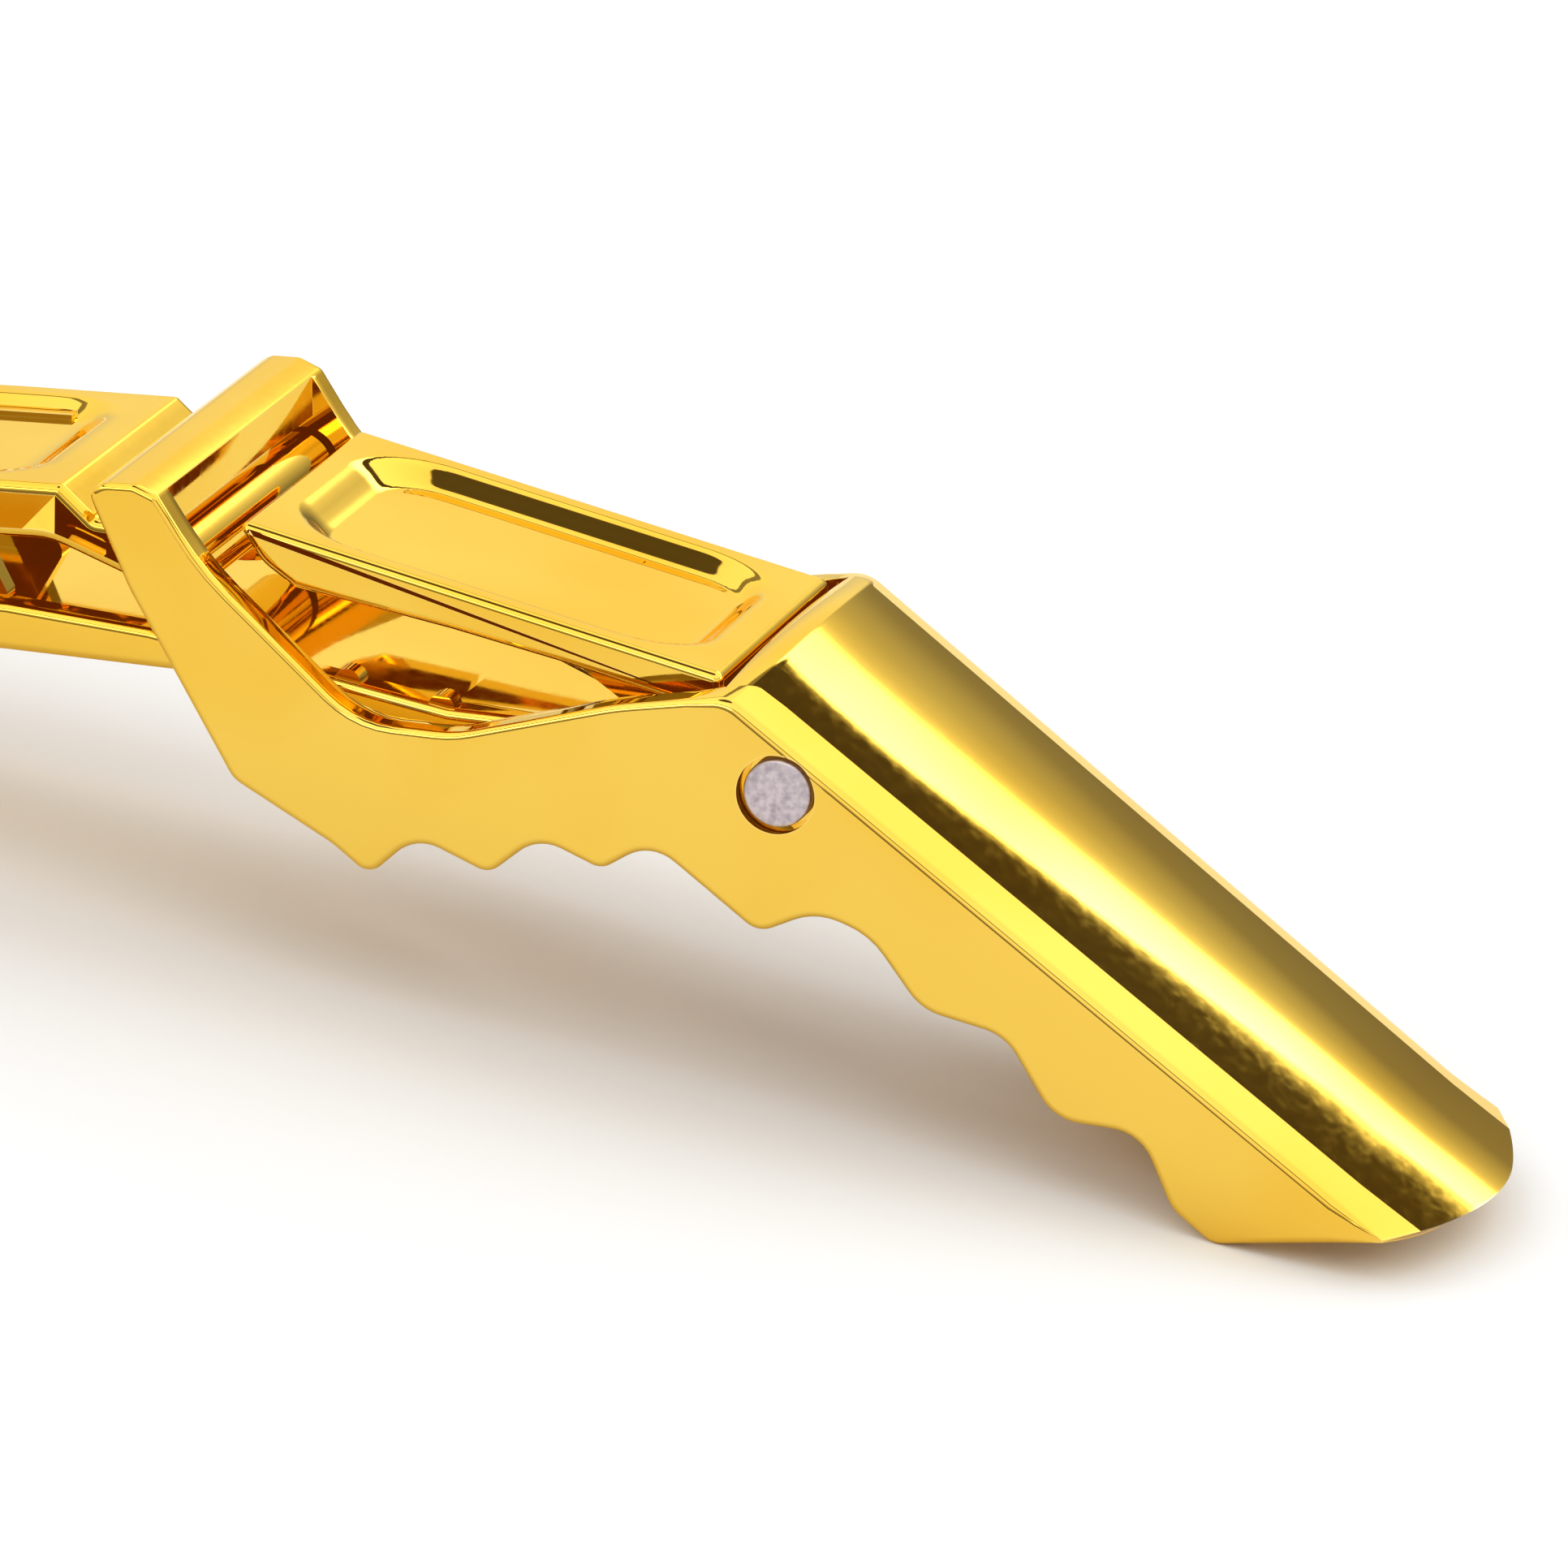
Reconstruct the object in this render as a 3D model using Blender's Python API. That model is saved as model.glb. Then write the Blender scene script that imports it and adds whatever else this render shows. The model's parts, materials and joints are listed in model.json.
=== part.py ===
"""Hair sectioning clip: a yoke handle, a thumb-worked lower jaw and a self-aligning upper jaw.

Metres, +Z up. The pieces are drawn in the handle's own frame, where the hinge pin is the origin,
+X runs to the handle's end, -X to the jaws and Y across. The clip is then tilted so that it
stands on the handle's heel and the tip of the lower jaw.
"""

import math

import bpy
from mathutils import Matrix, Vector

MM = 0.001

# Widths across the clip
BAR_WIDTH = 20.0 * MM
HEEL_WIDTH = 17.2 * MM
JAW_WIDTH = 14.0 * MM
NOSE_WIDTH = 9.0 * MM

# Walls
HANDLE_WALL = 1.4 * MM
PAD_WALL = 1.0 * MM
JAW_WALL = 1.3 * MM
JAW_SKIN = 1.2 * MM
THUMB_WALL = 1.3 * MM
THUMB_PLATE = 1.5 * MM

# Handle pad: a slab that slopes down from the hinge
PAD_SLOPE = math.radians(37.7)
PAD_HEIGHT = 1.85 * MM
PAD_ROUNDING = 0.7 * MM
PAD_CROWN = 0.7 * MM
PAD_END_BULGE = 1.6 * MM
PAD_END_RUN = 9.0 * MM
HEEL_X = 23.7 * MM
HEEL_EDGE = 0.1 * MM
RIM_X = -2.3 * MM
EDGE_ROUNDING = 0.25 * MM

# Crossbar that joins the arms over the jaws
BAR_FRONT_X = -27.3 * MM
BAR_REAR_X = -24.5 * MM
BAR_TOP_Z = 10.6 * MM
BAR_THICKNESS = 2.0 * MM

# Hinge pin with a head at each end, and what turns on it
PIN_RADIUS = 0.7 * MM
PIN_HEAD_RADIUS = 1.35 * MM
PIN_HEAD_LENGTH = 0.5 * MM
PIN_HEAD_SINK = 0.15 * MM
PIN_HEAD_CLEARANCE = 0.2 * MM
PIN_CLEARANCE = 0.15 * MM
KNUCKLE_WALL = 0.4 * MM
KNUCKLE_CLEARANCE = 0.2 * MM

# Upper jaw's hinge, under the crossbar
JAW_PIVOT_X = -25.0 * MM
JAW_PIVOT_Z = 6.6 * MM
JAW_PIN_RADIUS = 0.6 * MM
BARREL_RADIUS = 1.4 * MM
BARREL_SIDE_GAP = 0.4 * MM
JAW_PIN_SEAT = 0.9 * MM
JAW_PIN_END_GAP = 0.15 * MM
JAW_PIN_CLEARANCE = 0.1 * MM

# Jaws
NOSE_X = -87.0 * MM
NOSE_ROUNDING = 4.0 * MM
JAW_TAPER_START_X = -36.0 * MM
JAW_CORNER = 0.35 * MM
LOWER_BOTTOM_Z = 2.7 * MM
LOWER_BOTTOM_X = -31.8 * MM
LOWER_NOSE_LOW_Z = 4.6 * MM
LOWER_NOSE_HIGH_Z = 6.25 * MM
UPPER_TOP_Z = 9.5 * MM
UPPER_TOP_END_X = -29.5 * MM
UPPER_NOSE_LOW_Z = 6.55 * MM
UPPER_NOSE_HIGH_Z = 8.3 * MM
NOSE_SOLID = 4.5 * MM
UPPER_RECESS_FRONT_X = -66.0 * MM
UPPER_RECESS_END_GAP = 1.5 * MM
UPPER_RECESS_DEPTH = 0.55 * MM
FLOOR_END_X = -5.5 * MM

# Teeth inside the jaws
TOOTH_PITCH = 4.0 * MM
TOOTH_THICKNESS = 0.9 * MM
TOOTH_FIRST_X = -33.0 * MM
TOOTH_LAST_X = -80.0 * MM
ROW_FOOT = 0.15 * MM
TOOTH_ROOT = 1.0 * MM
TOOTH_TIP_GAP = 0.45 * MM
UPPER_ROW_INSET = 1.9 * MM
LOWER_ROW_INSET = 3.4 * MM
JOIN_STEP = 0.06 * MM
NUB_RADIUS = 0.55 * MM
NUB_XS = (-18.0 * MM, -14.2 * MM)

# Thumb lever
THUMB_FRONT_X = -22.4 * MM
THUMB_FRONT_Z = 8.7 * MM
THUMB_REAR_GAP = 0.5 * MM
THUMB_REAR_Z = 3.9 * MM
THUMB_OVERHANG = 0.1 * MM
THUMB_EAR_GAP = 0.2 * MM
THUMB_EAR_WIDTH = 1.3 * MM
THUMB_EAR_FRONT_X = -9.5 * MM
RECESS_DEPTH = 0.7 * MM
RECESS_SIDE = 1.6 * MM
RECESS_FRONT = 2.0 * MM
RECESS_REAR = 2.0 * MM
RECESS_CORNER = 2.5 * MM

# Spring
WIRE_RADIUS = 0.3 * MM
COIL_RADIUS = 1.3 * MM
COIL_TURNS = 7
COIL_SIDE_GAP = 0.5 * MM
COIL_CLEARANCE = 0.15 * MM
SPRING_GAP = 0.3 * MM
UPPER_LEG_X = -12.5 * MM
REAR_LEG_REACH = 9.0 * MM

ARC_STEP = math.radians(20)
LONGEST_RUN = 4.0 * MM
ROUND_SEGMENTS = 24
CUT_REACH = 40.0 * MM

GOLD = (0.85, 0.56, 0.085)
STEEL = (0.40, 0.34, 0.42)
SPRING_STEEL = (0.45, 0.44, 0.43)


def clear_scene():
    for thing in list(bpy.data.objects):
        bpy.data.objects.remove(thing, do_unlink=True)


def metal(name, colour, roughness):
    material = bpy.data.materials.new(name)
    material.use_nodes = True
    shader = material.node_tree.nodes["Principled BSDF"]
    shader.inputs["Base Color"].default_value = (*colour, 1.0)
    shader.inputs["Metallic"].default_value = 1.0
    shader.inputs["Roughness"].default_value = roughness
    return material


# ---------------------------------------------------------------- widths and heights


def between(value, start, end, low, high):
    """Straight line from low at start to high at end, level beyond both."""
    share = min(max((value - start) / (end - start), 0.0), 1.0)
    return low + (high - low) * share


def handle_half_width(x):
    """Half the handle's width: its side faces are flat and close in to the heel."""
    run = HEEL_X - BAR_FRONT_X
    return 0.5 * (BAR_WIDTH + (HEEL_WIDTH - BAR_WIDTH) * (x - BAR_FRONT_X) / run)


def handle_inner_half_width(x):
    return handle_half_width(x) - HANDLE_WALL


def jaw_half_width(x):
    """Half a jaw's width, with the nose rounded in plan."""
    half = 0.5 * between(x, JAW_TAPER_START_X, NOSE_X, JAW_WIDTH, NOSE_WIDTH)
    past = NOSE_X + NOSE_ROUNDING - x
    if past <= 0:
        return half
    return half - 0.75 * NOSE_ROUNDING * (1 - math.sqrt(max(1 - (past / NOSE_ROUNDING) ** 2, 0.0)))


def along(knots, x):
    """Height at x on straight runs between knots, which go from low x to high x."""
    for (x0, z0), (x1, z1) in zip(knots, knots[1:]):
        if x <= x1:
            return between(x, x0, x1, z0, z1)
    return knots[-1][1]


KNUCKLE_RADIUS = PIN_RADIUS + PIN_CLEARANCE + KNUCKLE_WALL
KNUCKLE_JOIN_X = -0.4 * KNUCKLE_RADIUS
KNUCKLE_JOIN_HALF = 0.88 * KNUCKLE_RADIUS

LOWER_BOTTOM = (
    (NOSE_X, LOWER_NOSE_LOW_Z),
    (LOWER_BOTTOM_X, LOWER_BOTTOM_Z),
    (-25.0 * MM, LOWER_BOTTOM_Z - 0.3 * MM),
    (-8.0 * MM, -0.5 * MM),
    (KNUCKLE_JOIN_X, -KNUCKLE_JOIN_HALF),
)
LOWER_TOP = (
    (NOSE_X, LOWER_NOSE_HIGH_Z),
    (LOWER_BOTTOM_X, LOWER_BOTTOM_Z + 1.9 * MM),
    (-26.0 * MM, 4.0 * MM),
    (-18.5 * MM, 2.6 * MM),
    (-13.9 * MM, 1.7 * MM),
    (KNUCKLE_JOIN_X, KNUCKLE_JOIN_HALF),
)
UPPER_HIGH = (
    (NOSE_X, UPPER_NOSE_HIGH_Z),
    (-62.0 * MM, UPPER_TOP_Z - 0.25 * MM),
    (-45.0 * MM, UPPER_TOP_Z),
    (UPPER_TOP_END_X, UPPER_TOP_Z),
    (-28.1 * MM, UPPER_TOP_Z - 1.3 * MM),
    (JAW_PIVOT_X, JAW_PIVOT_Z + BARREL_RADIUS - 0.1 * MM),
)
UPPER_LOW = (
    (NOSE_X, UPPER_NOSE_LOW_Z),
    (-30.0 * MM, UPPER_TOP_Z - 2.2 * MM),
    (-27.0 * MM, JAW_PIVOT_Z - 0.5 * MM),
    (JAW_PIVOT_X, JAW_PIVOT_Z - BARREL_RADIUS + 0.2 * MM),
)


def floor_top(x):
    return along(LOWER_BOTTOM, x) + JAW_SKIN


def plate_underside(x):
    return along(UPPER_HIGH, x) - JAW_SKIN


# ---------------------------------------------------------------- shapes


def mesh_object(name, points, faces):
    mesh = bpy.data.meshes.new(name)
    mesh.from_pydata(points, [], faces)
    mesh.validate()
    thing = bpy.data.objects.new(name, mesh)
    bpy.context.scene.collection.objects.link(thing)
    return thing


def split_runs(points, longest=LONGEST_RUN):
    """The closed outline with its long straight runs divided."""
    split = []
    for here, after in zip(points, points[1:] + points[:1]):
        pieces = max(1, math.ceil(math.dist(here, after) / longest))
        for i in range(pieces):
            share = i / pieces
            split.append(tuple(a + (b - a) * share for a, b in zip(here, after)))
    return split


def rounded(corners):
    """Closed outline (x, z) from corners (x, z, radius), each corner turned into an arc."""
    points = []
    for i, (x, z, radius) in enumerate(corners):
        here = Vector((x, z))
        back = Vector(corners[i - 1][:2]) - here
        ahead = Vector(corners[(i + 1) % len(corners)][:2]) - here
        opening = back.angle(ahead)
        if radius <= 0 or opening > math.pi - 0.02:
            points.append((x, z))
            continue
        reach = min(radius / math.tan(opening / 2), 0.48 * back.length, 0.48 * ahead.length)
        radius = reach * math.tan(opening / 2)
        bisector = (back.normalized() + ahead.normalized()).normalized()
        middle = here + bisector * (radius / math.sin(opening / 2))
        start = here + back.normalized() * reach - middle
        end = here + ahead.normalized() * reach - middle
        turn = math.atan2(start.x * end.y - start.y * end.x, start.dot(end))
        steps = max(2, math.ceil(abs(turn) / ARC_STEP))
        for step in range(steps + 1):
            angle = math.atan2(start.y, start.x) + turn * step / steps
            points.append((middle.x + radius * math.cos(angle), middle.y + radius * math.sin(angle)))
    return points


def circle(x, z, radius, segments=ROUND_SEGMENTS):
    turns = [2 * math.pi * i / segments for i in range(segments)]
    return [(x + radius * math.cos(turn), z + radius * math.sin(turn)) for turn in turns]


def slab(name, outline, near, far):
    """Solid with a counterclockwise side outline, between two side faces y = near(x) and y = far(x)."""
    count = len(outline)
    points = [(x, near(x), z) for x, z in outline] + [(x, far(x), z) for x, z in outline]
    faces = [tuple(range(count)), tuple(range(2 * count - 1, count - 1, -1))]
    for i in range(count):
        after = (i + 1) % count
        faces.append((i, i + count, after + count, after))
    return mesh_object(name, points, faces)


def level_slab(name, outline, near, far):
    return slab(name, outline, lambda x: near, lambda x: far)


def inward_normals(outline):
    """Offset direction at each point of a counterclockwise outline, long enough to keep walls parallel."""
    normals = []
    for i, here in enumerate(outline):
        back = (Vector(here) - Vector(outline[i - 1])).normalized()
        ahead = (Vector(outline[(i + 1) % len(outline)]) - Vector(here)).normalized()
        first = Vector((-back.y, back.x))
        second = Vector((-ahead.y, ahead.x))
        normals.append((first + second) / max(1 + first.dot(second), 0.5))
    return normals


def block(name, outline, half_width, rounding, crown=None, bulge=None, fillet_steps=3, middle_steps=6):
    """Solid with flat sides, whose long edges are rounded and whose top may be crowned.

    rounding, crown and bulge give a size at each point of the outline, and bulge pushes the
    middle of the width out along the slope of the pad.
    """
    crown = crown or (lambda x, z: 0.0)
    bulge = bulge or (lambda x, z: 0.0)
    slope = Vector((math.cos(PAD_SLOPE), -math.sin(PAD_SLOPE)))
    points = []
    for (x, z), inward in zip(outline, inward_normals(outline)):
        half = half_width(x)
        radius = rounding(x, z)
        row = []
        for step in range(fillet_steps + 1):
            turn = 0.5 * math.pi * step / fillet_steps
            row.append((half - radius * (1 - math.cos(turn)), radius * (1 - math.sin(turn))))
        flat = half - radius
        for step in range(1, middle_steps):
            y = flat * (1 - 2 * step / middle_steps)
            row.append((y, -crown(x, z) * (1 - (y / flat) ** 2)))
        row += [(-y, depth) for y, depth in reversed(row[: fillet_steps + 1])]
        for y, depth in row:
            push = bulge(x, z) * (1 - (y / half) ** 2)
            spot = Vector((x, z)) + inward * depth + slope * push
            points.append((spot.x, -y, spot.y))
    width = len(row)
    count = len(outline)
    faces = [tuple(i * width for i in range(count))]
    faces.append(tuple(i * width + width - 1 for i in reversed(range(count))))
    for i in range(count):
        after = (i + 1) % count
        for j in range(width - 1):
            faces.append((i * width + j, i * width + j + 1, after * width + j + 1, after * width + j))
    return mesh_object(name, points, faces)


def loft(name, stations, corner_steps=2):
    """Solid along X through rounded rectangles (x, half width, low z, high z, corner radius)."""
    points = []
    for x, half, low, high, radius in stations:
        corners = ((half, low, -90), (half, high, 0), (-half, high, 90), (-half, low, 180))
        for y, z, first in corners:
            middle_y = y - math.copysign(radius, y)
            middle_z = z + radius if z == low else z - radius
            for step in range(corner_steps + 1):
                turn = math.radians(first + 90 * step / corner_steps)
                points.append((x, middle_y + radius * math.cos(turn), middle_z + radius * math.sin(turn)))
    width = 4 * (corner_steps + 1)
    last = (len(stations) - 1) * width
    faces = [tuple(range(width))[::-1], tuple(range(last, last + width))]
    for i in range(len(stations) - 1):
        for j in range(width):
            after = (j + 1) % width
            faces.append(
                (i * width + j, i * width + after, (i + 1) * width + after, (i + 1) * width + j)
            )
    return mesh_object(name, points, faces)


def combine(thing, others, operation):
    """Cuts the others from the thing, or joins them to it, and keeps only the result."""
    for other in others:
        change = thing.modifiers.new(other.name, "BOOLEAN")
        change.operation = operation
        change.solver = "EXACT"
        change.object = other
    graph = bpy.context.evaluated_depsgraph_get()
    result = bpy.data.meshes.new_from_object(thing.evaluated_get(graph))
    thing.modifiers.clear()
    thing.data = result
    result.name = thing.name
    for other in others:
        bpy.data.objects.remove(other, do_unlink=True)
    return thing


def finish(thing, material, sharp_angle=30):
    thing.data.materials.clear()
    thing.data.materials.append(material)
    thing.data.shade_smooth()
    thing.data.set_sharp_from_angle(angle=math.radians(sharp_angle))
    return thing


# ---------------------------------------------------------------- handle


def pad_normal():
    return Vector((math.sin(PAD_SLOPE), math.cos(PAD_SLOPE)))


def pad_point(x, height):
    """Point at x on the line that lies this far above the hinge pin's axis, square to the pad."""
    normal = pad_normal()
    return (x, (height - normal.x * x) / normal.y)


def handle_outline():
    """Side view of the handle, counterclockwise from the front of the crossbar."""
    rim = pad_point(RIM_X, PAD_HEIGHT)
    heel = pad_point(HEEL_X, PAD_HEIGHT)
    corners = (
        (BAR_FRONT_X, BAR_TOP_Z - 0.4 * MM, 0.5 * MM),
        (-25.7 * MM, 6.4 * MM, 6 * MM),
        (-21.7 * MM, -0.9 * MM, 1.2 * MM),
        (-17.8 * MM, -3.2 * MM, 4 * MM),
        (-16.3 * MM, -4.4 * MM, 0.7 * MM),
        (-14.4 * MM, -2.7 * MM, 1.6 * MM),
        (-11.5 * MM, -4.0 * MM, 0.8 * MM),
        (-9.5 * MM, -2.4 * MM, 1.6 * MM),
        (-7.0 * MM, -3.5 * MM, 0.8 * MM),
        (-5.0 * MM, -2.3 * MM, 2.2 * MM),
        (-0.8 * MM, -5.6 * MM, 1.0 * MM),
        (1.5 * MM, -4.6 * MM, 2.4 * MM),
        (3.6 * MM, -5.4 * MM, 3 * MM),
        (5.6 * MM, -8.2 * MM, 2.2 * MM),
        (8.9 * MM, -9.0 * MM, 2.0 * MM),
        (10.8 * MM, -12.2 * MM, 2.0 * MM),
        (14.2 * MM, -12.5 * MM, 1.8 * MM),
        (15.4 * MM, -15.4 * MM, 1.6 * MM),
        (17.0 * MM, -16.7 * MM, 1.0 * MM),
        (heel[0], heel[1] - HEEL_EDGE, 0.3 * MM),
        (heel[0], heel[1], 0.0),
        (rim[0], rim[1], 0.9 * MM),
        (-6.3 * MM, 3.1 * MM, 12 * MM),
        (-12.8 * MM, 1.5 * MM, 5 * MM),
        (-16.7 * MM, 1.7 * MM, 4 * MM),
        (-22.8 * MM, 7.5 * MM, 12 * MM),
        (BAR_REAR_X, BAR_TOP_Z - 0.4 * MM, 0.5 * MM),
        (-25.4 * MM, BAR_TOP_Z, 0.5 * MM),
        (-26.6 * MM, BAR_TOP_Z, 0.9 * MM),
    )
    return split_runs(rounded(corners))


def on_pad(x, z):
    """True on the pad's top line, and not on the skirt's edge under it."""
    height = pad_normal().dot(Vector((x, z)))
    return x > RIM_X - 0.5 * MM and height > PAD_HEIGHT - 0.3 * MM


def handle_rounding(x, z):
    return PAD_ROUNDING if on_pad(x, z) else EDGE_ROUNDING


def handle_crown(x, z):
    return PAD_CROWN if on_pad(x, z) else 0.0


def handle_bulge(x, z):
    return PAD_END_BULGE * between(x, HEEL_X - PAD_END_RUN, HEEL_X, 0.0, 1.0) ** 2


def handle_hollow():
    """Everything between the side walls but the crossbar and the pad."""
    ceiling = PAD_HEIGHT - PAD_WALL
    far = HEEL_X + CUT_REACH / 4
    bar_bottom = BAR_TOP_Z - BAR_THICKNESS
    outline = (
        (-CUT_REACH, -CUT_REACH),
        (far, -CUT_REACH),
        pad_point(far, ceiling),
        pad_point(RIM_X, ceiling),
        (RIM_X, CUT_REACH),
        (BAR_REAR_X, CUT_REACH),
        (BAR_REAR_X, bar_bottom),
        (-CUT_REACH, bar_bottom),
    )
    return slab("hollow", outline, lambda x: -handle_inner_half_width(x), handle_inner_half_width)


def coil_half_length():
    """Half the coil's length, which fills the space between the lever's ears."""
    return thumb_ear_outer() - THUMB_EAR_WIDTH - COIL_SIDE_GAP


def coil_pitch():
    return 2 * (coil_half_length() - WIRE_RADIUS) / COIL_TURNS


def pin_head_inner_y():
    return handle_half_width(0.0) - PIN_HEAD_SINK - PIN_HEAD_LENGTH


def build_handle(material):
    handle = block(
        "handle", handle_outline(), handle_half_width, handle_rounding, handle_crown, handle_bulge
    )
    knuckle_reach = 0.5 * JAW_WIDTH + KNUCKLE_CLEARANCE
    knuckle_space = KNUCKLE_RADIUS + KNUCKLE_CLEARANCE
    coil_reach = coil_half_length() + COIL_CLEARANCE
    coil_space = COIL_RADIUS + WIRE_RADIUS + COIL_CLEARANCE
    hole = PIN_RADIUS + PIN_CLEARANCE
    counterbore = PIN_HEAD_RADIUS + PIN_HEAD_CLEARANCE
    seat = pin_head_inner_y() - PIN_HEAD_SINK
    pin_end = handle_inner_half_width(JAW_PIVOT_X) + JAW_PIN_SEAT
    jaw_hole = circle(JAW_PIVOT_X, JAW_PIVOT_Z, JAW_PIN_RADIUS + JAW_PIN_CLEARANCE)
    cuts = [
        handle_hollow(),
        level_slab("knuckle_space", circle(0, 0, knuckle_space), -knuckle_reach, knuckle_reach),
        level_slab("coil_space", circle(0, 0, coil_space), -coil_reach, coil_reach),
        level_slab("pin_hole", circle(0, 0, hole), -CUT_REACH, CUT_REACH),
        level_slab("near_counterbore", circle(0, 0, counterbore), -CUT_REACH, -seat),
        level_slab("far_counterbore", circle(0, 0, counterbore), seat, CUT_REACH),
        level_slab("jaw_pin_holes", jaw_hole, -pin_end, pin_end),
    ]
    return finish(combine(handle, cuts, "DIFFERENCE"), material)


# ---------------------------------------------------------------- jaws


def nose_stations():
    return [NOSE_X + NOSE_ROUNDING * (1 - math.cos(math.radians(angle))) for angle in (6, 25, 45, 65, 90)]


def jaw_stations(low, high, inner_xs):
    xs = nose_stations() + inner_xs
    return [(x, jaw_half_width(x), along(low, x), along(high, x), JAW_CORNER) for x in xs]


def tooth_row(name, root, tip, inset, side):
    """One row of triangular teeth: root(x) and tip(x) give the heights they run between."""
    count = round((TOOTH_FIRST_X - TOOTH_LAST_X) / TOOTH_PITCH)
    xs = [TOOTH_FIRST_X - TOOTH_PITCH * i for i in range(count + 1)]
    edge = []
    for x in reversed(xs):
        edge.append((x, root(x)))
        if x < TOOTH_FIRST_X - 0.5 * TOOTH_PITCH:
            middle = x + 0.5 * TOOTH_PITCH
            edge.append((middle, tip(middle)))
    back = TOOTH_ROOT if root(xs[0]) > tip(xs[0]) else -TOOTH_ROOT
    outline = edge + [(x, root(x) + back) for x in xs]
    if back < 0:
        outline.reverse()

    def outer(x):
        return side * (jaw_half_width(x) - inset)

    def inner(x):
        return side * (jaw_half_width(x) - inset - TOOTH_THICKNESS)

    near, far = (inner, outer) if side > 0 else (outer, inner)
    return slab(name, outline, near, far)


def upper_tooth_tip(x):
    return floor_top(x) + TOOTH_TIP_GAP


def lower_tooth_tip(x):
    return plate_underside(x) - TOOTH_TIP_GAP


def build_lower_jaw(material):
    run = [-75, -66, -57, -48, -40, -36, -31.8, -26, -25, -18.5, -13.9, -8, -4]
    stations = jaw_stations(LOWER_BOTTOM, LOWER_TOP, [x * MM for x in run] + [KNUCKLE_JOIN_X])
    jaw = loft("lower_jaw", stations)
    half = 0.5 * JAW_WIDTH
    inner = half - JAW_WALL
    hollow = []
    for x in [NOSE_X + NOSE_SOLID] + [x * MM for x in run] + [4 * MM]:
        width = jaw_half_width(x) - JAW_WALL
        hollow.append((x, width, floor_top(x), along(LOWER_TOP, x) + CUT_REACH / 4, 0.2 * MM))
    well = [
        (FLOOR_END_X, -CUT_REACH),
        (CUT_REACH, -CUT_REACH),
        (CUT_REACH, CUT_REACH),
        (FLOOR_END_X, CUT_REACH),
    ]
    combine(jaw, [loft("channel", hollow), level_slab("spring_well", well, -inner, inner)], "DIFFERENCE")
    additions = []
    for side in (-1, 1):
        near, far = sorted((side * (inner - JOIN_STEP), side * (half - JOIN_STEP)))
        tag = "near" if side < 0 else "far"
        additions.append(level_slab(f"{tag}_knuckle", circle(0, 0, KNUCKLE_RADIUS), near, far))
        for i, x in enumerate(NUB_XS):
            nub = circle(x, along(LOWER_TOP, x) - 0.1 * MM, NUB_RADIUS, 12)
            additions.append(level_slab(f"{tag}_nub_{i}", nub, near + 0.2 * MM, far - 0.2 * MM))
        row = tooth_row(
            f"{tag}_teeth", lambda x: floor_top(x) + ROW_FOOT, lower_tooth_tip, LOWER_ROW_INSET, side
        )
        additions.append(row)
    combine(jaw, additions, "UNION")
    bore = circle(0, 0, PIN_RADIUS + PIN_CLEARANCE)
    combine(jaw, [level_slab("bore", bore, -CUT_REACH, CUT_REACH)], "DIFFERENCE")
    return finish(jaw, material)


def build_upper_jaw(material):
    run = [-75, -66, -62, -57, -48, -45, -40, -36, -32, -30, -29.5, -28.1, -27]
    xs = [x * MM for x in run] + [JAW_PIVOT_X]
    jaw = loft("upper_jaw", jaw_stations(UPPER_LOW, UPPER_HIGH, xs))
    hollow = []
    for x in [NOSE_X + NOSE_SOLID] + xs[:-2]:
        width = jaw_half_width(x) - JAW_WALL
        hollow.append((x, width, along(UPPER_LOW, x) - CUT_REACH / 4, plate_underside(x), 0.2 * MM))
    recess_end = UPPER_TOP_END_X - UPPER_RECESS_END_GAP
    recess = recess_cutter(
        UPPER_RECESS_FRONT_X, recess_end, UPPER_TOP_Z, 0.0, jaw_half_width, UPPER_RECESS_DEPTH
    )
    combine(jaw, [loft("channel", hollow), recess], "DIFFERENCE")
    reach = handle_inner_half_width(JAW_PIVOT_X) - BARREL_SIDE_GAP
    barrel = circle(JAW_PIVOT_X, JAW_PIVOT_Z, BARREL_RADIUS)
    additions = [level_slab("barrel", barrel, -reach, reach)]
    for side in (-1, 1):
        row = tooth_row(
            "near_teeth" if side < 0 else "far_teeth",
            lambda x: plate_underside(x) - ROW_FOOT,
            upper_tooth_tip,
            UPPER_ROW_INSET,
            side,
        )
        additions.append(row)
    combine(jaw, additions, "UNION")
    bore = circle(JAW_PIVOT_X, JAW_PIVOT_Z, JAW_PIN_RADIUS + PIN_CLEARANCE)
    combine(jaw, [level_slab("bore", bore, -CUT_REACH, CUT_REACH)], "DIFFERENCE")
    return finish(jaw, material)


def recess_cutter(front, rear, height, tilt, half_width, depth):
    """Shallow tray with rounded corners, sunk from a top face that passes height at its rear end.

    The face falls towards the rear by tilt. The tray keeps RECESS_SIDE from the part's sides.
    """
    corner = RECESS_CORNER
    outline = []
    spots = ((rear, 1, 0), (front, 1, 90), (front, -1, 180), (rear, -1, 270))
    for x, side, first in spots:
        middle_x = x - corner if x == rear else x + corner
        for step in range(5):
            turn = math.radians(first + 22.5 * step)
            half = half_width(middle_x) - RECESS_SIDE
            y = side * (half - corner) + corner * math.sin(turn)
            outline.append((middle_x + corner * math.cos(turn), y))
    count = len(outline)
    above = 5 * MM
    points = []
    for lift in (-depth, above):
        for x, y in outline:
            points.append((x, y, height + (rear - x) * math.tan(tilt) + lift))
    faces = [tuple(range(count))[::-1], tuple(range(count, 2 * count))]
    for i in range(count):
        after = (i + 1) % count
        faces.append((i, after, after + count, i + count))
    return mesh_object("recess", points, faces)


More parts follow.
